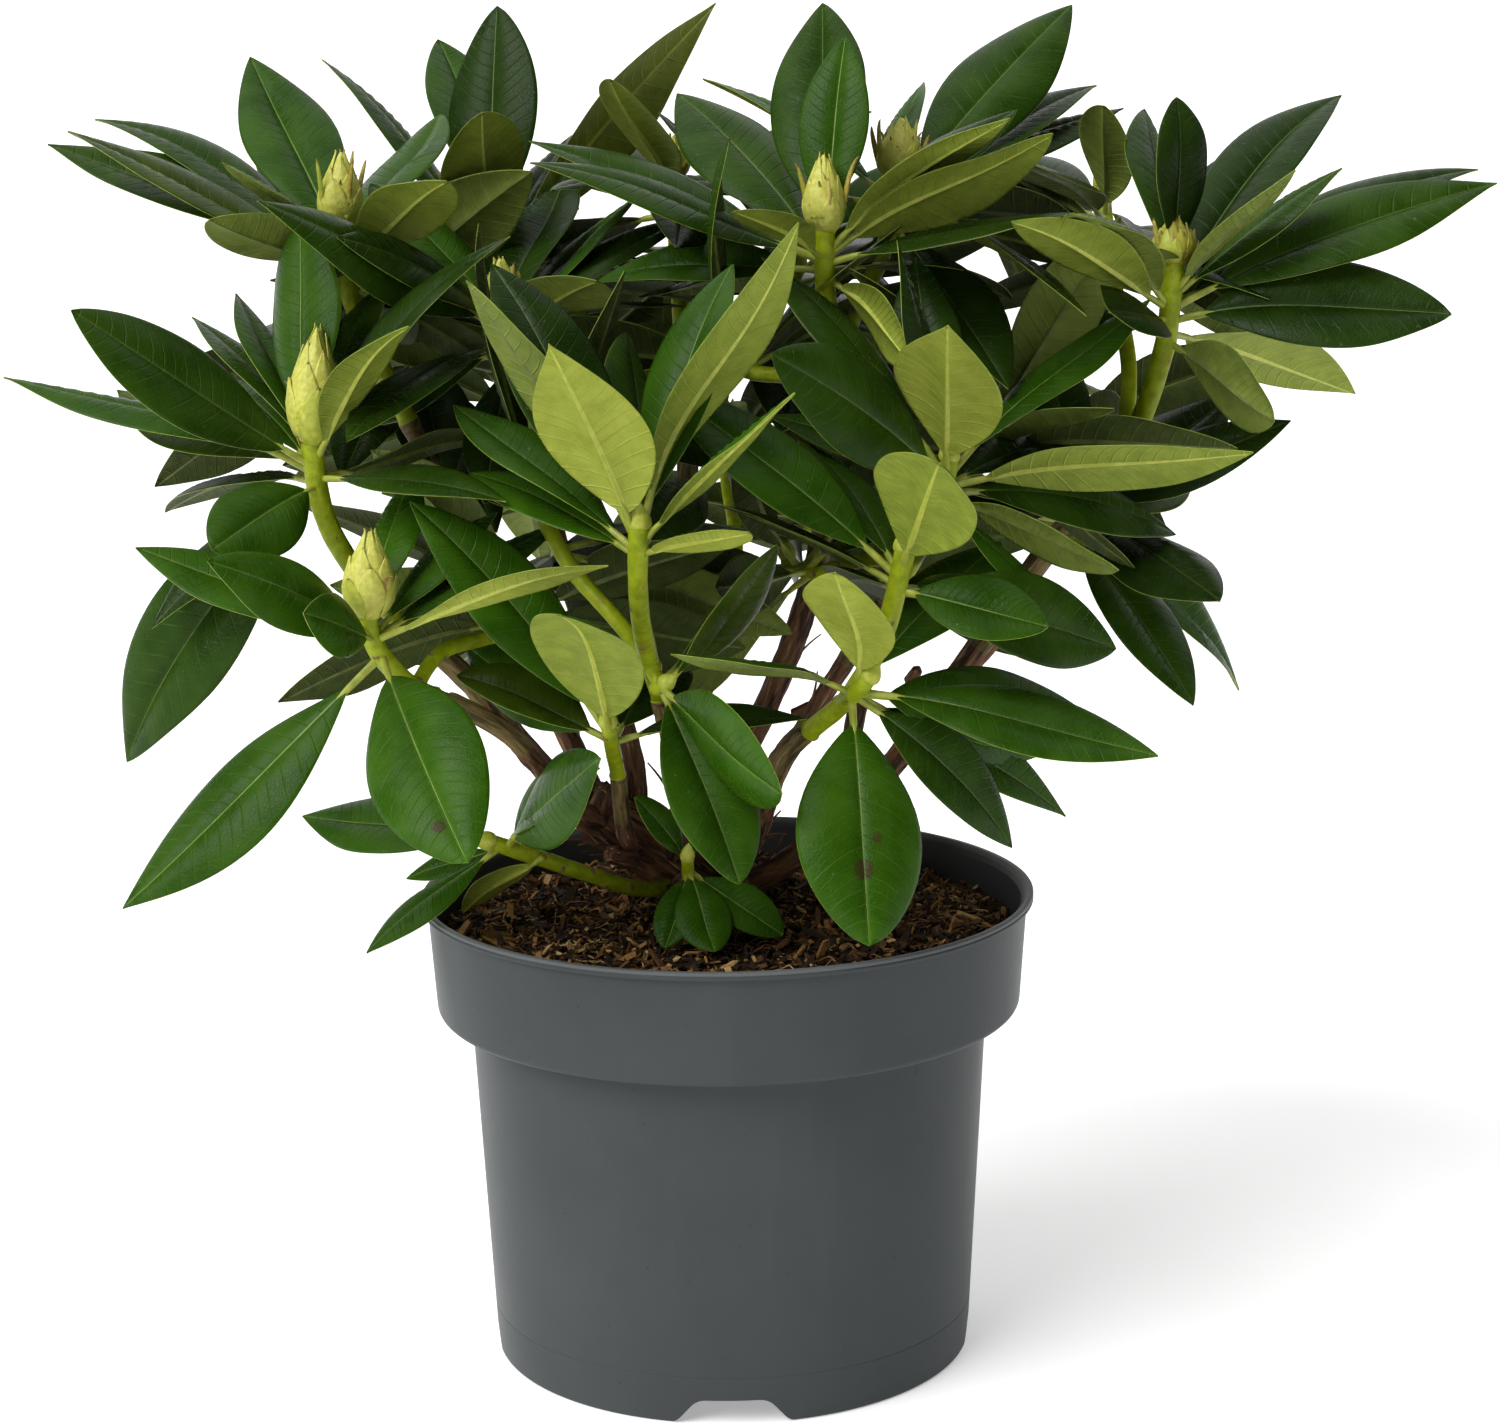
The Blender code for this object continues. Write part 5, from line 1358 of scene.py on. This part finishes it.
STEM_SIDES = 18
SCAR_COUNT = 7
SCAR_RADII = [0.0013, 0.0014, 0.0011, 0.0004]

stems = Heap()
for number, twig in enumerate(twigs):
    chance = random.Random(900 + number)
    fine = smooth_path(twig["path"], 9)
    wide = fine_radii(twig["radii"], len(fine))
    runs = np.linspace(0, 1, len(fine))
    sprout = twig["mass"] in SPROUT_MASSES
    green_from = 0.2 if sprout else chance.uniform(0.04, 0.24)
    swell = 1 + 0.16 * np.exp(-((runs - green_from) / 0.02) ** 2)

    def bumps(angles, radius, length, seed=number):
        return np.array([noise.noise(Vector((math.cos(a) * 1.6, math.sin(a) * 1.6 + seed, length * 90)))
                         for a in angles]) * radius * 0.09

    points, faces, marks = sweep(fine, wide * swell, STEM_SIDES, 1.0, bumps)
    share = np.arange(len(faces)) / (len(fine) - 1) / STEM_SIDES
    stems.add(points, faces, np.where(share < green_from, 1, 0), marks)
    for _ in range(SCAR_COUNT):
        share = chance.uniform(0.15, 0.9)
        centre, way = along(fine, share)
        out = standing_out(way, chance)
        reach = float(np.interp(share, runs, wide))
        middle = centre + out * (reach * 0.86)
        line = [middle + out * (0.0002 * step) for step in range(4)]
        points, faces, marks = sweep(line, SCAR_RADII, 9, 0.7)
        stems.add(points, faces, 2, marks)
stems.piece("shoots", [stem_green, stem_brown, leaf_scar], "foliage")

# %% [markdown]
# ## Leaves
# Each leaf is leathery and pointed at both ends, with a pale sunken midrib above, a raised one
# below, and some fourteen pairs of fine side veins that curve towards the tip. Its halves are a
# little puffed or folded up, and its margins roll under. The blade is a grid of points. Its rows
# follow the side veins, and every second row lies on a vein. Its outline is close to the one that
# the solid has, so the blade fills the same place.

# %% The blade of a leaf
VEIN_PAIRS = 14
BLADE_ROWS = 2 * VEIN_PAIRS + 5
PLAIN_ROWS = VEIN_PAIRS + 3
VEIN_SWEEP = 0.62
QUILT = 0.00018
PUFF = 0.075
GROOVE = 0.00045
GROOVE_REACH = 0.0009
RIB = 0.00085
RIM_THICKNESS = 0.00022
BLADE_THICKNESS = 0.00058
COLUMN_SHARES = (0.27, 0.52, 0.75, 0.92, 1.0)
# Half widths of the coloured midrib above and below, in metres, and their greatest shares of the blade
RIB_LINE = (0.00028, 0.07)
BACK_RIB_LINE = (0.0011, 0.16)


def half_widths(leaf, shares):
    """Half the blade's width: one curve from the stalk to the widest place, and one from there to the tip."""
    blade = np.clip((shares - PETIOLE_SHARE) / (1 - PETIOLE_SHARE), 0, 1)
    turn = blade ** leaf["skew"]
    power = np.where(turn < 0.5, leaf["full"], leaf["point"])
    outline = np.abs(np.sin(math.pi * turn)) ** power * (1 - 0.4 * (1 - blade) ** 5)
    return np.maximum(0.0002, leaf["width"] / 2 * outline)


def arc(leaf, shares):
    """Points of the midrib and the upper side's normals there."""
    way, _, upper = (np.array(tuple(vector)) for vector in leaf["frame"])
    bend = leaf["bend"]
    angle = bend * (0.5 - shares)[..., None]
    run = (math.sin(bend / 2) - np.sin(angle)) / bend
    rise = (np.cos(angle) - math.cos(bend / 2)) / bend
    side = np.array(tuple(leaf["frame"][1]))
    shares = np.asarray(shares)[..., None]
    wander = side * (leaf["sway"] * 4 * shares * (1 - shares))
    wander = wander + upper * (leaf["arch"] * np.sin(math.tau * shares))
    points = np.array(tuple(leaf["root"])) + (way * run + upper * rise + wander) * leaf["length"]
    return points, upper * np.cos(angle) - way * np.sin(angle)


def blade_mesh(leaf, chance, count):
    """Points, faces, finish numbers and marks of one blade, both sides and the margin between."""
    length = leaf["length"]
    spread = np.linspace(0, 1, count)
    uneven = np.array([chance.uniform(-0.28, 0.28) for _ in range(count)]) / count
    uneven = uneven * np.abs(np.sin(math.pi * spread))
    spread = np.clip(spread + 0.020 * np.sin(math.tau * spread) + uneven, 0, 1)
    rows = PETIOLE_SHARE + (1 - PETIOLE_SHARE) * spread
    half = half_widths(leaf, rows)[:, None]
    near = np.minimum(RIB_LINE[0] * (1.3 - spread)[:, None] / half, RIB_LINE[1])
    edge = np.minimum(BACK_RIB_LINE[0] * (1.15 - 0.85 * spread)[:, None] / half, BACK_RIB_LINE[1])
    right = np.concatenate([near, edge, np.broadcast_to(COLUMN_SHARES, (count, 5))], axis=1)
    across = np.concatenate([-right[:, ::-1], np.zeros((count, 1)), right], axis=1)
    fade = (np.abs(np.sin(math.pi * spread)) ** 0.7)[:, None]
    shares = rows[:, None] + fade * VEIN_SWEEP * np.abs(across) ** 1.25 * half / length
    shares = np.minimum(shares, 1.0)
    shares[-1] = 1.0
    middle, normal = arc(leaf, shares)
    reach = half_widths(leaf, shares)
    side = np.array(tuple(leaf["frame"][1]))
    run = np.abs(across)
    quilt = QUILT * leaf["quilt"] * (count == BLADE_ROWS) * (1 - 2 * (np.arange(count) % 2))[:, None]
    puff = PUFF * leaf["puff"]
    lift = reach * (puff * np.sin(math.pi * run ** 0.8) - MARGIN_DROP * leaf["roll_under"] * run ** 2.4)
    lift = lift + reach * leaf["fold"] * run + quilt * np.sin(math.pi * run ** 0.9) * fade
    for waves, size in ((chance.uniform(0.8, 1.5), 1.0), (chance.uniform(2.0, 3.0), 0.35)):
        phases = (chance.uniform(0, 6.28), chance.uniform(0, 6.28))
        phase = np.where(across < 0, *phases)
        ripple = np.sin(waves * math.tau * shares + phase) * fade
        lift = lift + half.max() * size * leaf["wave"] * run ** 2 * ripple
    lift = lift - GROOVE * np.exp(-(run * reach / GROOVE_REACH) ** 2) * fade
    twist = leaf["twist"] * (shares - 0.4)
    flat = side[None, None] * np.cos(twist)[..., None] + normal * np.sin(twist)[..., None]
    up = normal * np.cos(twist)[..., None] - side[None, None] * np.sin(twist)[..., None]
    top = middle + flat * (across * reach)[..., None] + up * lift[..., None]
    thick = RIM_THICKNESS + (BLADE_THICKNESS - RIM_THICKNESS) * (1 - run ** 3)
    bulge = np.exp(-(run * reach / GROOVE_REACH) ** 2)
    rib = RIB * (1.15 - 0.85 * spread)[:, None] * bulge * np.minimum(1, fade * 3 + 0.4)
    back = top - up * (thick + rib)[..., None]
    columns = across.shape[1]
    faces = grid_faces(count, columns)
    under = faces[:, ::-1] + count * columns
    column = np.tile(np.arange(columns - 1), count - 1)
    rib_face = np.abs(column - (columns - 2) / 2) < 2
    inner_rib = np.abs(column - (columns - 2) / 2) < 1
    edges = []
    for c, order in ((0, 1), (columns - 1, -1)):
        a = np.arange(count - 1) * columns + c
        quad = np.stack([a, a + columns, a + columns + count * columns, a + count * columns], axis=1)
        edges.append(quad[:, ::order])
    ends = []
    for r, order in ((0, -1), (count - 1, 1)):
        a = r * columns + np.arange(columns - 1)
        quad = np.stack([a, a + 1, a + 1 + count * columns, a + count * columns], axis=1)
        ends.append(quad[:, ::-order])
    slots = np.concatenate([np.where(inner_rib, leaf["rib"], leaf["tint"]),
                            np.where(rib_face, leaf["back_rib"], leaf["back"]),
                            np.full(2 * (count - 1), TINTS["margin"]),
                            np.full(2 * (columns - 1), leaf["back"])])
    row_mark = np.broadcast_to(np.linspace(0, VEIN_PAIRS + 2, count)[:, None], across.shape)
    mark = np.stack([row_mark, across * reach / reach.max(), shares], axis=2).reshape(-1, 3)
    points = np.concatenate([top.reshape(-1, 3), back.reshape(-1, 3)])
    return points, np.concatenate([faces, under, *edges, *ends]), slots, np.concatenate([mark, mark])


# %% [markdown]
# The upper side is a deep green with a thin pale bloom, which is partly a painted sheen, and specks
# of dust. The back is dull, pale and olive. Young leaves at the lower left are brighter than the old
# ones behind. The darker greens dealt to the masses on the right, and the dark greens and shaded backs
# of leaves inside the crown, are painted shade. So the finishes are a few greens for each side, and
# every leaf is dealt one by the mass that it grows in and by whether it sits inside the crown. A mark
# on each point says which vein it is nearest, and draws the vein as a fine paler line with a slight
# relief. A few leaves in front have brown blemishes.

# %% Leaf finishes
UPPER_TINTS = [("dark", (0.0080, 0.022, 0.0016), (0.0150, 0.036, 0.0028)),
               ("deep", (0.0130, 0.037, 0.0018), (0.024, 0.058, 0.0034)),
               ("mid", (0.0160, 0.052, 0.0016), (0.029, 0.080, 0.0034)),
               ("fresh", (0.0190, 0.064, 0.0014), (0.034, 0.096, 0.0036)),
               ("olive", (0.0230, 0.046, 0.0020), (0.042, 0.074, 0.0040))]
BACK_TINTS = [("back_olive", (0.165, 0.215, 0.020), (0.245, 0.300, 0.034)),
              ("back_pale", (0.245, 0.295, 0.030), (0.340, 0.385, 0.052)),
              ("back_green", (0.110, 0.150, 0.020), (0.175, 0.225, 0.036)),
              ("back_shade", (0.030, 0.046, 0.007), (0.060, 0.084, 0.012))]
# Brown blemishes on the first leaf of a shoot: the shoot, the shares along and across, and a radius
BLEMISHES = [(12, 0.72, 0.10, 0.0030), (12, 0.60, -0.15, 0.0018), (0, 0.84, 0.25, 0.0024)]
BLEMISH_BROWN = (0.040, 0.024, 0.010)

spots = []
for number, share, across, radius in BLEMISHES:
    leaf = next(leaf for leaf in garden.leaves if leaf["twig"] == number)
    spots.append((leaf_point(leaf, share) + leaf["frame"][1] * (across * half_width(leaf, share)), radius))


def vein_net(finish, scale, width):
    """The net of the finest veins: 1 on a vein and 0 between."""
    cells = {"Vector": finish.place(scale), "Scale": 1.0}
    edge = finish.node("ShaderNodeTexVoronoi", {"feature": "DISTANCE_TO_EDGE"}, cells)
    return finish.span(edge, 0.0, width, 1.0, 0.0)


leaf_finishes = []
for name, dark, light in UPPER_TINTS:
    top_side = Finish("leaf_" + name, ior=1.45, specular_ior_level=0.11)
    row, across, _ = top_side.parts(top_side.mark())
    line = top_side.span(abs(row % 1 - 0.5), 0.0, 0.075, 1.0, 0.0)
    line = line * top_side.span(abs(across), 0.35, 0.95, 1.0, 0.1)
    blotch = top_side.speckle(48, 2)
    tone = top_side.blend(top_side.span(blotch, 0.3, 0.7), dark, light)
    pale = (2.2 * light[0] + 0.006, 1.9 * light[1] + 0.008, 2.0 * light[2] + 0.002)
    net = vein_net(top_side, 620, 0.12)
    tone = top_side.blend(line * 0.22 + net * 0.08, tone, pale)
    near_rib = top_side.span(abs(across), 0.0, 0.06, 1.0, 0.0)
    tone = top_side.blend(near_rib * 0.4, tone, pale)
    dust = top_side.span(top_side.speckle(520, 2), 0.70, 0.76)
    tone = top_side.blend(dust * 0.30, tone, (0.16, 0.21, 0.12))
    # Partly a real bloom and partly a painted sheen: paler, greyer patches on the upper side
    bloom_and_sheen = top_side.span(top_side.speckle(75, 2, 0.6), 0.48, 0.72)
    bloom_and_sheen_haze = 0.18 * light[1]
    bloom_and_sheen_tint = (1.2 * light[0] + bloom_and_sheen_haze, 1.1 * light[1] + bloom_and_sheen_haze, light[2] + bloom_and_sheen_haze)
    tone = top_side.blend(bloom_and_sheen * 0.22, tone, bloom_and_sheen_tint)
    for spot, radius in spots if name in ("fresh", "mid") else ():
        ends = {0: top_side.place(), 1: spot}
        away = top_side.node("ShaderNodeVectorMath", {"operation": "DISTANCE"}, ends, output=1)
        inside = top_side.span(away + blotch * 0.0012, radius, 1.3 * radius + 0.0008, 0.8, 0.0)
        tone = top_side.blend(inside, tone, BLEMISH_BROWN)
    relief = top_side.relief(net * -0.12 - line * 0.55 + blotch * 1.2, 0.00034)
    dull = top_side.span(blotch, 0.3, 0.7, 0.24, 0.36) + line * 0.08
    top_side.wire(base_color=tone, roughness=dull, normal=relief)
    leaf_finishes.append(top_side)
for name, dark, light in BACK_TINTS:
    back_side = Finish("leaf_" + name, roughness=0.62, specular_ior_level=0.22)
    row, _, _ = back_side.parts(back_side.mark())
    line = back_side.span(abs(row % 1 - 0.5), 0.0, 0.09, 1.0, 0.0)
    felt = back_side.speckle(150, 3, 0.5)
    tone = back_side.blend(back_side.span(felt, 0.2, 0.8), dark, light)
    net = vein_net(back_side, 460, 0.10)
    tone = back_side.blend(line * 0.60 + net * 0.14, tone, tuple(1.40 * value + 0.02 for value in light))
    tone = back_side.blend(back_side.span(back_side.speckle(34, 3), 0.52, 0.75) * 0.22, tone, dark)
    back_side.wire(base_color=tone, normal=back_side.relief(line * 0.9 + net * 0.2 + felt * 0.3, 0.0004))
    leaf_finishes.append(back_side)
# Ribs, stalks and margins, each with its roughness
RIB_TINTS = [("midrib", (0.085, 0.150, 0.016), (0.150, 0.225, 0.032), 0.45),
             ("midrib_dark", (0.040, 0.080, 0.010), (0.080, 0.130, 0.019), 0.45),
             ("midrib_back", (0.360, 0.400, 0.044), (0.480, 0.510, 0.080), 0.5),
             ("midrib_shade", (0.080, 0.105, 0.014), (0.140, 0.170, 0.026), 0.5),
             ("stalk", (0.230, 0.275, 0.022), (0.370, 0.400, 0.050), 0.42),
             # The margin, the blade's thin edge, is tinted brighter than the blade: a painted highlight along
             # the rim
             ("margin", (0.170, 0.240, 0.018), (0.280, 0.350, 0.036), 0.5)]
for name, dark, light, dull in RIB_TINTS:
    leaf_finishes.append(streaked(name, dark, light, 240, 4, 0.0003, roughness=dull))
TINTS = {name: index for index, (name, *_rest) in enumerate([*UPPER_TINTS, *BACK_TINTS, *RIB_TINTS])}

# %% Grow the leaves
# Odds of a fresh, a middle, a deep and a dark leaf in each mass; the darker odds of the masses on the right
# are painted shade
TINT_NAMES = ("fresh", "mid", "deep", "dark")
TINT_ODDS = {
    "mass_left_low": (80, 20, 0, 0), "mass_sprout_front": (90, 10, 0, 0), "mass_sprout_left": (80, 20, 0, 0),
    "mass_left": (15, 45, 40, 0), "mass_left_top": (5, 45, 50, 0), "mass_front": (25, 45, 30, 0),
    "mass_front_right": (25, 50, 25, 0), "mass_centre_low": (50, 40, 10, 0),
    "mass_inner_right": (10, 40, 50, 0), "mass_right_top": (0, 0, 40, 60),
    "mass_right_low": (0, 30, 50, 20), "mass_top": (0, 40, 50, 10)}
OTHER_ODDS = (0, 20, 50, 30)
# Odds of a pale, an olive, a green and a shaded back, for leaves outside and for those inside the crown
BACK_NAMES = ("back_pale", "back_olive", "back_green", "back_shade")
OUTER_BACKS = (15, 50, 35, 0)
INNER_BACKS = (0, 0, 25, 75)
PALE_MASSES = ("mass_front", "mass_front_right", "mass_inner_right", "mass_centre_low")
BROAD = 0.40
OLIVE_SHARE = 0.15
INNER_SHADE_SHARE = 0.75
# Leaves near the camera with a form of their own, by shoot and by number on it: how full the blade
# is below and above its widest place, where that lies, how far it is folded, and its back if given
LEAF_SHAPES = {(6, 0): (0.74, 1.16, 0.74, 0.22), (13, 0): (0.72, 1.06, 0.92, 0.18),
               (11, 0): (0.58, 0.64, 1.05, 0.04, "back_olive"),
               (9, 0): (0.52, 0.56, 1.02, 0.04, "back_olive")}
SHAPE_KEYS = ("full", "point", "skew", "fold", "shows")
# By a leaf's width over its length: the blade's fullness, its skew, and how much slimmer its tip is
FULLNESS = ((0.26, 0.34, 0.46), (0.78, 0.68, 0.54))
SKEWS = ((0.26, 0.36, 0.48), (0.92, 0.98, 1.10))
POINTEDNESS = ((0.28, 0.46), (0.20, 0.06))
LEAVES_IN_PIECE = 96


def dress(leaf, chance, inner):
    """The small differences between one leaf and the next."""
    leaf.update(puff=chance.uniform(0.6, 1.3), roll_under=chance.uniform(0.7, 1.2),
                wave=chance.uniform(0.01, 0.06), twist=chance.gauss(0, 0.16), sway=chance.gauss(0, 0.016),
                arch=chance.gauss(0.004, 0.010), fold=max(-0.08, chance.gauss(0.14, 0.12)),
                quilt=chance.uniform(0.6, 1.7))
    ratio = leaf["width"] / leaf["length"]
    leaf["full"] = float(np.interp(ratio, *FULLNESS)) + chance.uniform(-0.04, 0.04)
    leaf["skew"] = float(np.interp(ratio, *SKEWS)) + chance.uniform(-0.06, 0.06)
    leaf["point"] = leaf["full"] + float(np.interp(ratio, *POINTEDNESS))
    leaf.update(zip(SHAPE_KEYS, LEAF_SHAPES.get((leaf["twig"], leaf["nth"]), ())))
    name = chance.choices(TINT_NAMES, TINT_ODDS.get(leaf["mass"], OTHER_ODDS))[0]
    if name == "deep" and chance.random() < OLIVE_SHARE:
        name = "olive"
    # Painted shade: leaves inside the crown mostly get the dark green
    if inner and chance.random() < INNER_SHADE_SHARE:
        name = "dark"
    leaf["tint"] = TINTS[name]
    leaf["rib"] = TINTS["midrib" if name in ("fresh", "mid") else "midrib_dark"]
    back = chance.choices(BACK_NAMES, INNER_BACKS if inner else OUTER_BACKS)[0]
    if ratio > BROAD and leaf["mass"] in PALE_MASSES and not inner:
        back = "back_pale"
    back = leaf.get("shows", back)
    leaf["back"] = TINTS[back]
    leaf["back_rib"] = TINTS["midrib_back" if back in ("back_pale", "back_olive") else "midrib_shade"]


STALK_END = PETIOLE_SHARE * 1.5
USUAL_WIDTH = 0.034


def petiole(leaf):
    """The stalk: round, a little flattened, and sunk into the midrib at its end."""
    shares = np.linspace(0.0, STALK_END, 9)
    points, normals = arc(leaf, shares)
    sink = np.interp(shares, [0, PETIOLE_SHARE, STALK_END], [0, 0.0004, 0.0010])
    points = points - normals * sink[:, None]
    wide = np.interp(shares, [0, 0.03, PETIOLE_SHARE, STALK_END], [0.0019, 0.00145, 0.00125, 0.0005])
    wide = wide * (0.75 + 0.25 * leaf["width"] / USUAL_WIDTH)
    return sweep(points, wide, 9, 0.9)


heaps = []
stalks = Heap()
seen = [0] * len(twigs)
for index, leaf in enumerate(garden.leaves):
    chance = random.Random(4000 + index)
    leaf["nth"] = seen[leaf["twig"]]
    seen[leaf["twig"]] += 1
    dress(leaf, chance, index >= single)
    if index % LEAVES_IN_PIECE == 0:
        heaps.append(Heap())
    heaps[-1].add(*blade_mesh(leaf, chance, BLADE_ROWS if index < planned else PLAIN_ROWS))
    points, faces, marks = petiole(leaf)
    stalks.add(points, faces, TINTS["stalk"], marks)
masses = list(dict.fromkeys(twig["mass"] for twig in twigs))
for index, heap in enumerate(heaps):
    heap.piece("leaves_%d" % (index + 1), leaf_finishes, "foliage", masses if index == 0 else ())
stalks.piece("leaf_stalks", leaf_finishes, "foliage")

# %% [markdown]
# ## Flower buds
# A flower bud of this shrub is a fat pointed egg, wrapped in overlapping scales like roof tiles. The
# scales are pale yellow-green with a brown tip, and narrow bracts stand round the foot. Small buds
# have ragged bracts all over, and the smallest are golden, with more and narrower scales. Each scale
# is a small curved patch that hugs the egg, and the spiral of a pine cone sets them out.
# A shoot with no flower ends in a small pointed leaf bud.

# %% Bud finishes
BUD_TINTS = [("scale_pale", (0.450, 0.455, 0.060), (0.600, 0.590, 0.120)),
             ("scale_green", (0.340, 0.390, 0.030), (0.460, 0.490, 0.060)),
             ("scale_tip", (0.150, 0.070, 0.015), (0.340, 0.200, 0.045)),
             ("scale_edge", (0.400, 0.330, 0.060), (0.580, 0.500, 0.110)),
             ("scale_gold", (0.240, 0.225, 0.014), (0.390, 0.355, 0.036)),
             ("bract", (0.260, 0.190, 0.020), (0.440, 0.350, 0.050))]
PALE, GREEN, TIP, EDGE, GOLD, BRACT = range(len(BUD_TINTS))
bud_finishes = []
for name, dark, light in BUD_TINTS:
    bud_finishes.append(streaked(name, dark, light, 520, 4, 0.0003, roughness=0.5, specular_ior_level=0.4))

# %% Scales of the buds
SCALE_ROWS = 12
SCALE_COLUMNS = 9
EGG_HEIGHTS = (0.0, 0.08, 0.20, 0.34, 0.50, 0.65, 0.80, 0.92, 1.0)
EGG_WIDTHS = (0.44, 0.68, 0.91, 1.00, 0.92, 0.73, 0.47, 0.23, 0.05)
RAGGED_LENGTH = 0.029
GOLDEN_LENGTH = 0.019
BRACT_BODY_FACES = 44


def egg(radius, height):
    """The bud's radius at a share of its height."""
    return radius * np.interp(height, EGG_HEIGHTS, EGG_WIDTHS)


def scale_patch(twig, turn, base, top, wide, layer, lift, golden, chance):
    """One scale as a thin closed patch round the bud, from its base to its pointed tip."""
    length, radius = (value * 0.001 for value in twig["bud"])
    basis = twig["axis"].to_track_quat("Z", "Y").to_matrix()
    foot = twig["path"][-1] - twig["axis"] * 0.0012
    outer, inner = [], []
    for row in range(SCALE_ROWS):
        t = 1 - (1 - row / (SCALE_ROWS - 1)) ** 1.35
        height = base + (top - base) * t
        open_width = wide * (1 - t ** 1.9) ** 0.85 * (0.75 + 0.25 * min(1, 3 * t)) + 0.02
        for column in range(SCALE_COLUMNS):
            s = column / (SCALE_COLUMNS - 1) * 2 - 1
            angle = turn + s * open_width
            out = egg(radius, max(0.0, min(1.0, height))) * (1 + layer) + lift * t ** 5
            out += 0.00035 * (1 - s * s) + 0.00012 * math.cos(7 * s)
            for side, skin in ((outer, 0.0), (inner, -0.0003)):
                reach = out + skin
                place = Vector((reach * math.cos(angle), reach * math.sin(angle), height * length))
                side.append(foot + basis @ place)
    count = SCALE_ROWS * SCALE_COLUMNS
    skin = grid_faces(SCALE_ROWS, SCALE_COLUMNS)
    rim = [r * SCALE_COLUMNS for r in range(SCALE_ROWS)]
    rim += [count - SCALE_COLUMNS + c for c in range(1, SCALE_COLUMNS)]
    rim += [r * SCALE_COLUMNS + SCALE_COLUMNS - 1 for r in range(SCALE_ROWS - 2, -1, -1)]
    rim += [c for c in range(SCALE_COLUMNS - 2, 0, -1)]
    rim_faces = [(a, b, b + count, a + count) for a, b in zip(rim, rim[1:] + rim[:1])]
    row = np.repeat(np.arange(SCALE_ROWS - 1), SCALE_COLUMNS - 1)
    if golden:
        body = GOLD if chance.random() < 0.7 else GREEN
    else:
        body = GREEN if base < 0.02 and chance.random() < 0.5 else PALE
    slots = np.where(row >= SCALE_ROWS - 2, TIP if chance.random() < 0.45 else EDGE, body)
    faces = np.concatenate([skin, skin[:, ::-1] + count, rim_faces])
    slots = np.concatenate([slots, slots, np.full(len(rim_faces), body)])
    return [tuple(point) for point in outer + inner], faces, slots


buds = Heap()
for number, twig in enumerate(twigs):
    chance = random.Random(700 + number)
    tip, axis = twig["path"][-1], twig["axis"]
    if not twig["bud"][0]:
        length = chance.uniform(0.007, 0.010)
        core = [tip + axis * (length * step / 11 - 0.001) for step in range(12)]
        wide = [egg(twig["radii"][-1] * 1.25, 0.14 + 0.86 * step / 11) for step in range(12)]
        points, faces, marks = sweep(core, wide, 14)
        buds.add(points, faces, GREEN, marks)
        continue
    length, radius = (value * 0.001 for value in twig["bud"])
    core = [tip + axis * (length * step / 14 - 0.0015) for step in range(15)]
    wide = [egg(radius, step / 14) * 0.88 + 0.0001 for step in range(15)]
    points, faces, marks = sweep(core, wide, 20)
    golden = length < GOLDEN_LENGTH
    buds.add(points, faces, GOLD if golden else PALE, marks)
    scales = 22 if golden else 16
    for index in range(scales):
        share = index / (scales - 1)
        base = -0.03 + 0.50 * share
        top = min(1.03, base + chance.uniform(0.42, 0.56) + 0.16 * share)
        layer = 0.07 * (1 - share) - 0.035
        wide = chance.uniform(0.45, 0.65) if golden else chance.uniform(0.80, 1.05)
        lift = chance.uniform(0.0001, 0.0009) + 0.0008 * share
        turn = index * GOLDEN_TURN + number
        buds.add(*scale_patch(twig, turn, base, top, wide, layer, lift, golden, chance))
    ragged = length < RAGGED_LENGTH
    for index in range(15 if ragged else 8):
        turn = Matrix.Rotation(index * GOLDEN_TURN + chance.uniform(-0.4, 0.4), 3, axis)
        out = turn @ axis.orthogonal().normalized()
        foot = tip + axis * (chance.uniform(-0.003, 0.3 * length) if index % 2 else -0.001)
        run = chance.uniform(0.45, 0.80) * length if ragged else chance.uniform(0.004, 0.012)
        curl = chance.uniform(0.0, 0.5) if ragged else chance.uniform(0.3, 1.3)
        first = egg(radius, max(0.0, (foot - tip).dot(axis) / length))
        wide = 0.0011 if ragged else 0.0007
        line, wides = [], []
        for t in (step / 9 for step in range(10)):
            reach = first * (1 + 0.25 * ragged * math.sin(2.4 * t)) + 0.55 * run * curl * t ** 2
            line.append(foot + out * reach + axis * (run * math.sin(1.5 * t)))
            wides.append(wide * (0.6 + 0.4 * math.sin(0.5 + 2.2 * t)) * (1 - t ** 2) + 0.0001)
        points, faces, marks = sweep(line, wides, 7, 0.35)
        tone = chance.choice((BRACT, GOLD, EDGE, GREEN) if ragged else (PALE, EDGE, EDGE, GREEN, TIP))
        end = BRACT if tone in (PALE, GREEN) else TIP
        buds.add(points, faces, np.where(np.arange(len(faces)) > BRACT_BODY_FACES, end, tone), marks)
buds.piece("flower_buds", bud_finishes, "foliage")
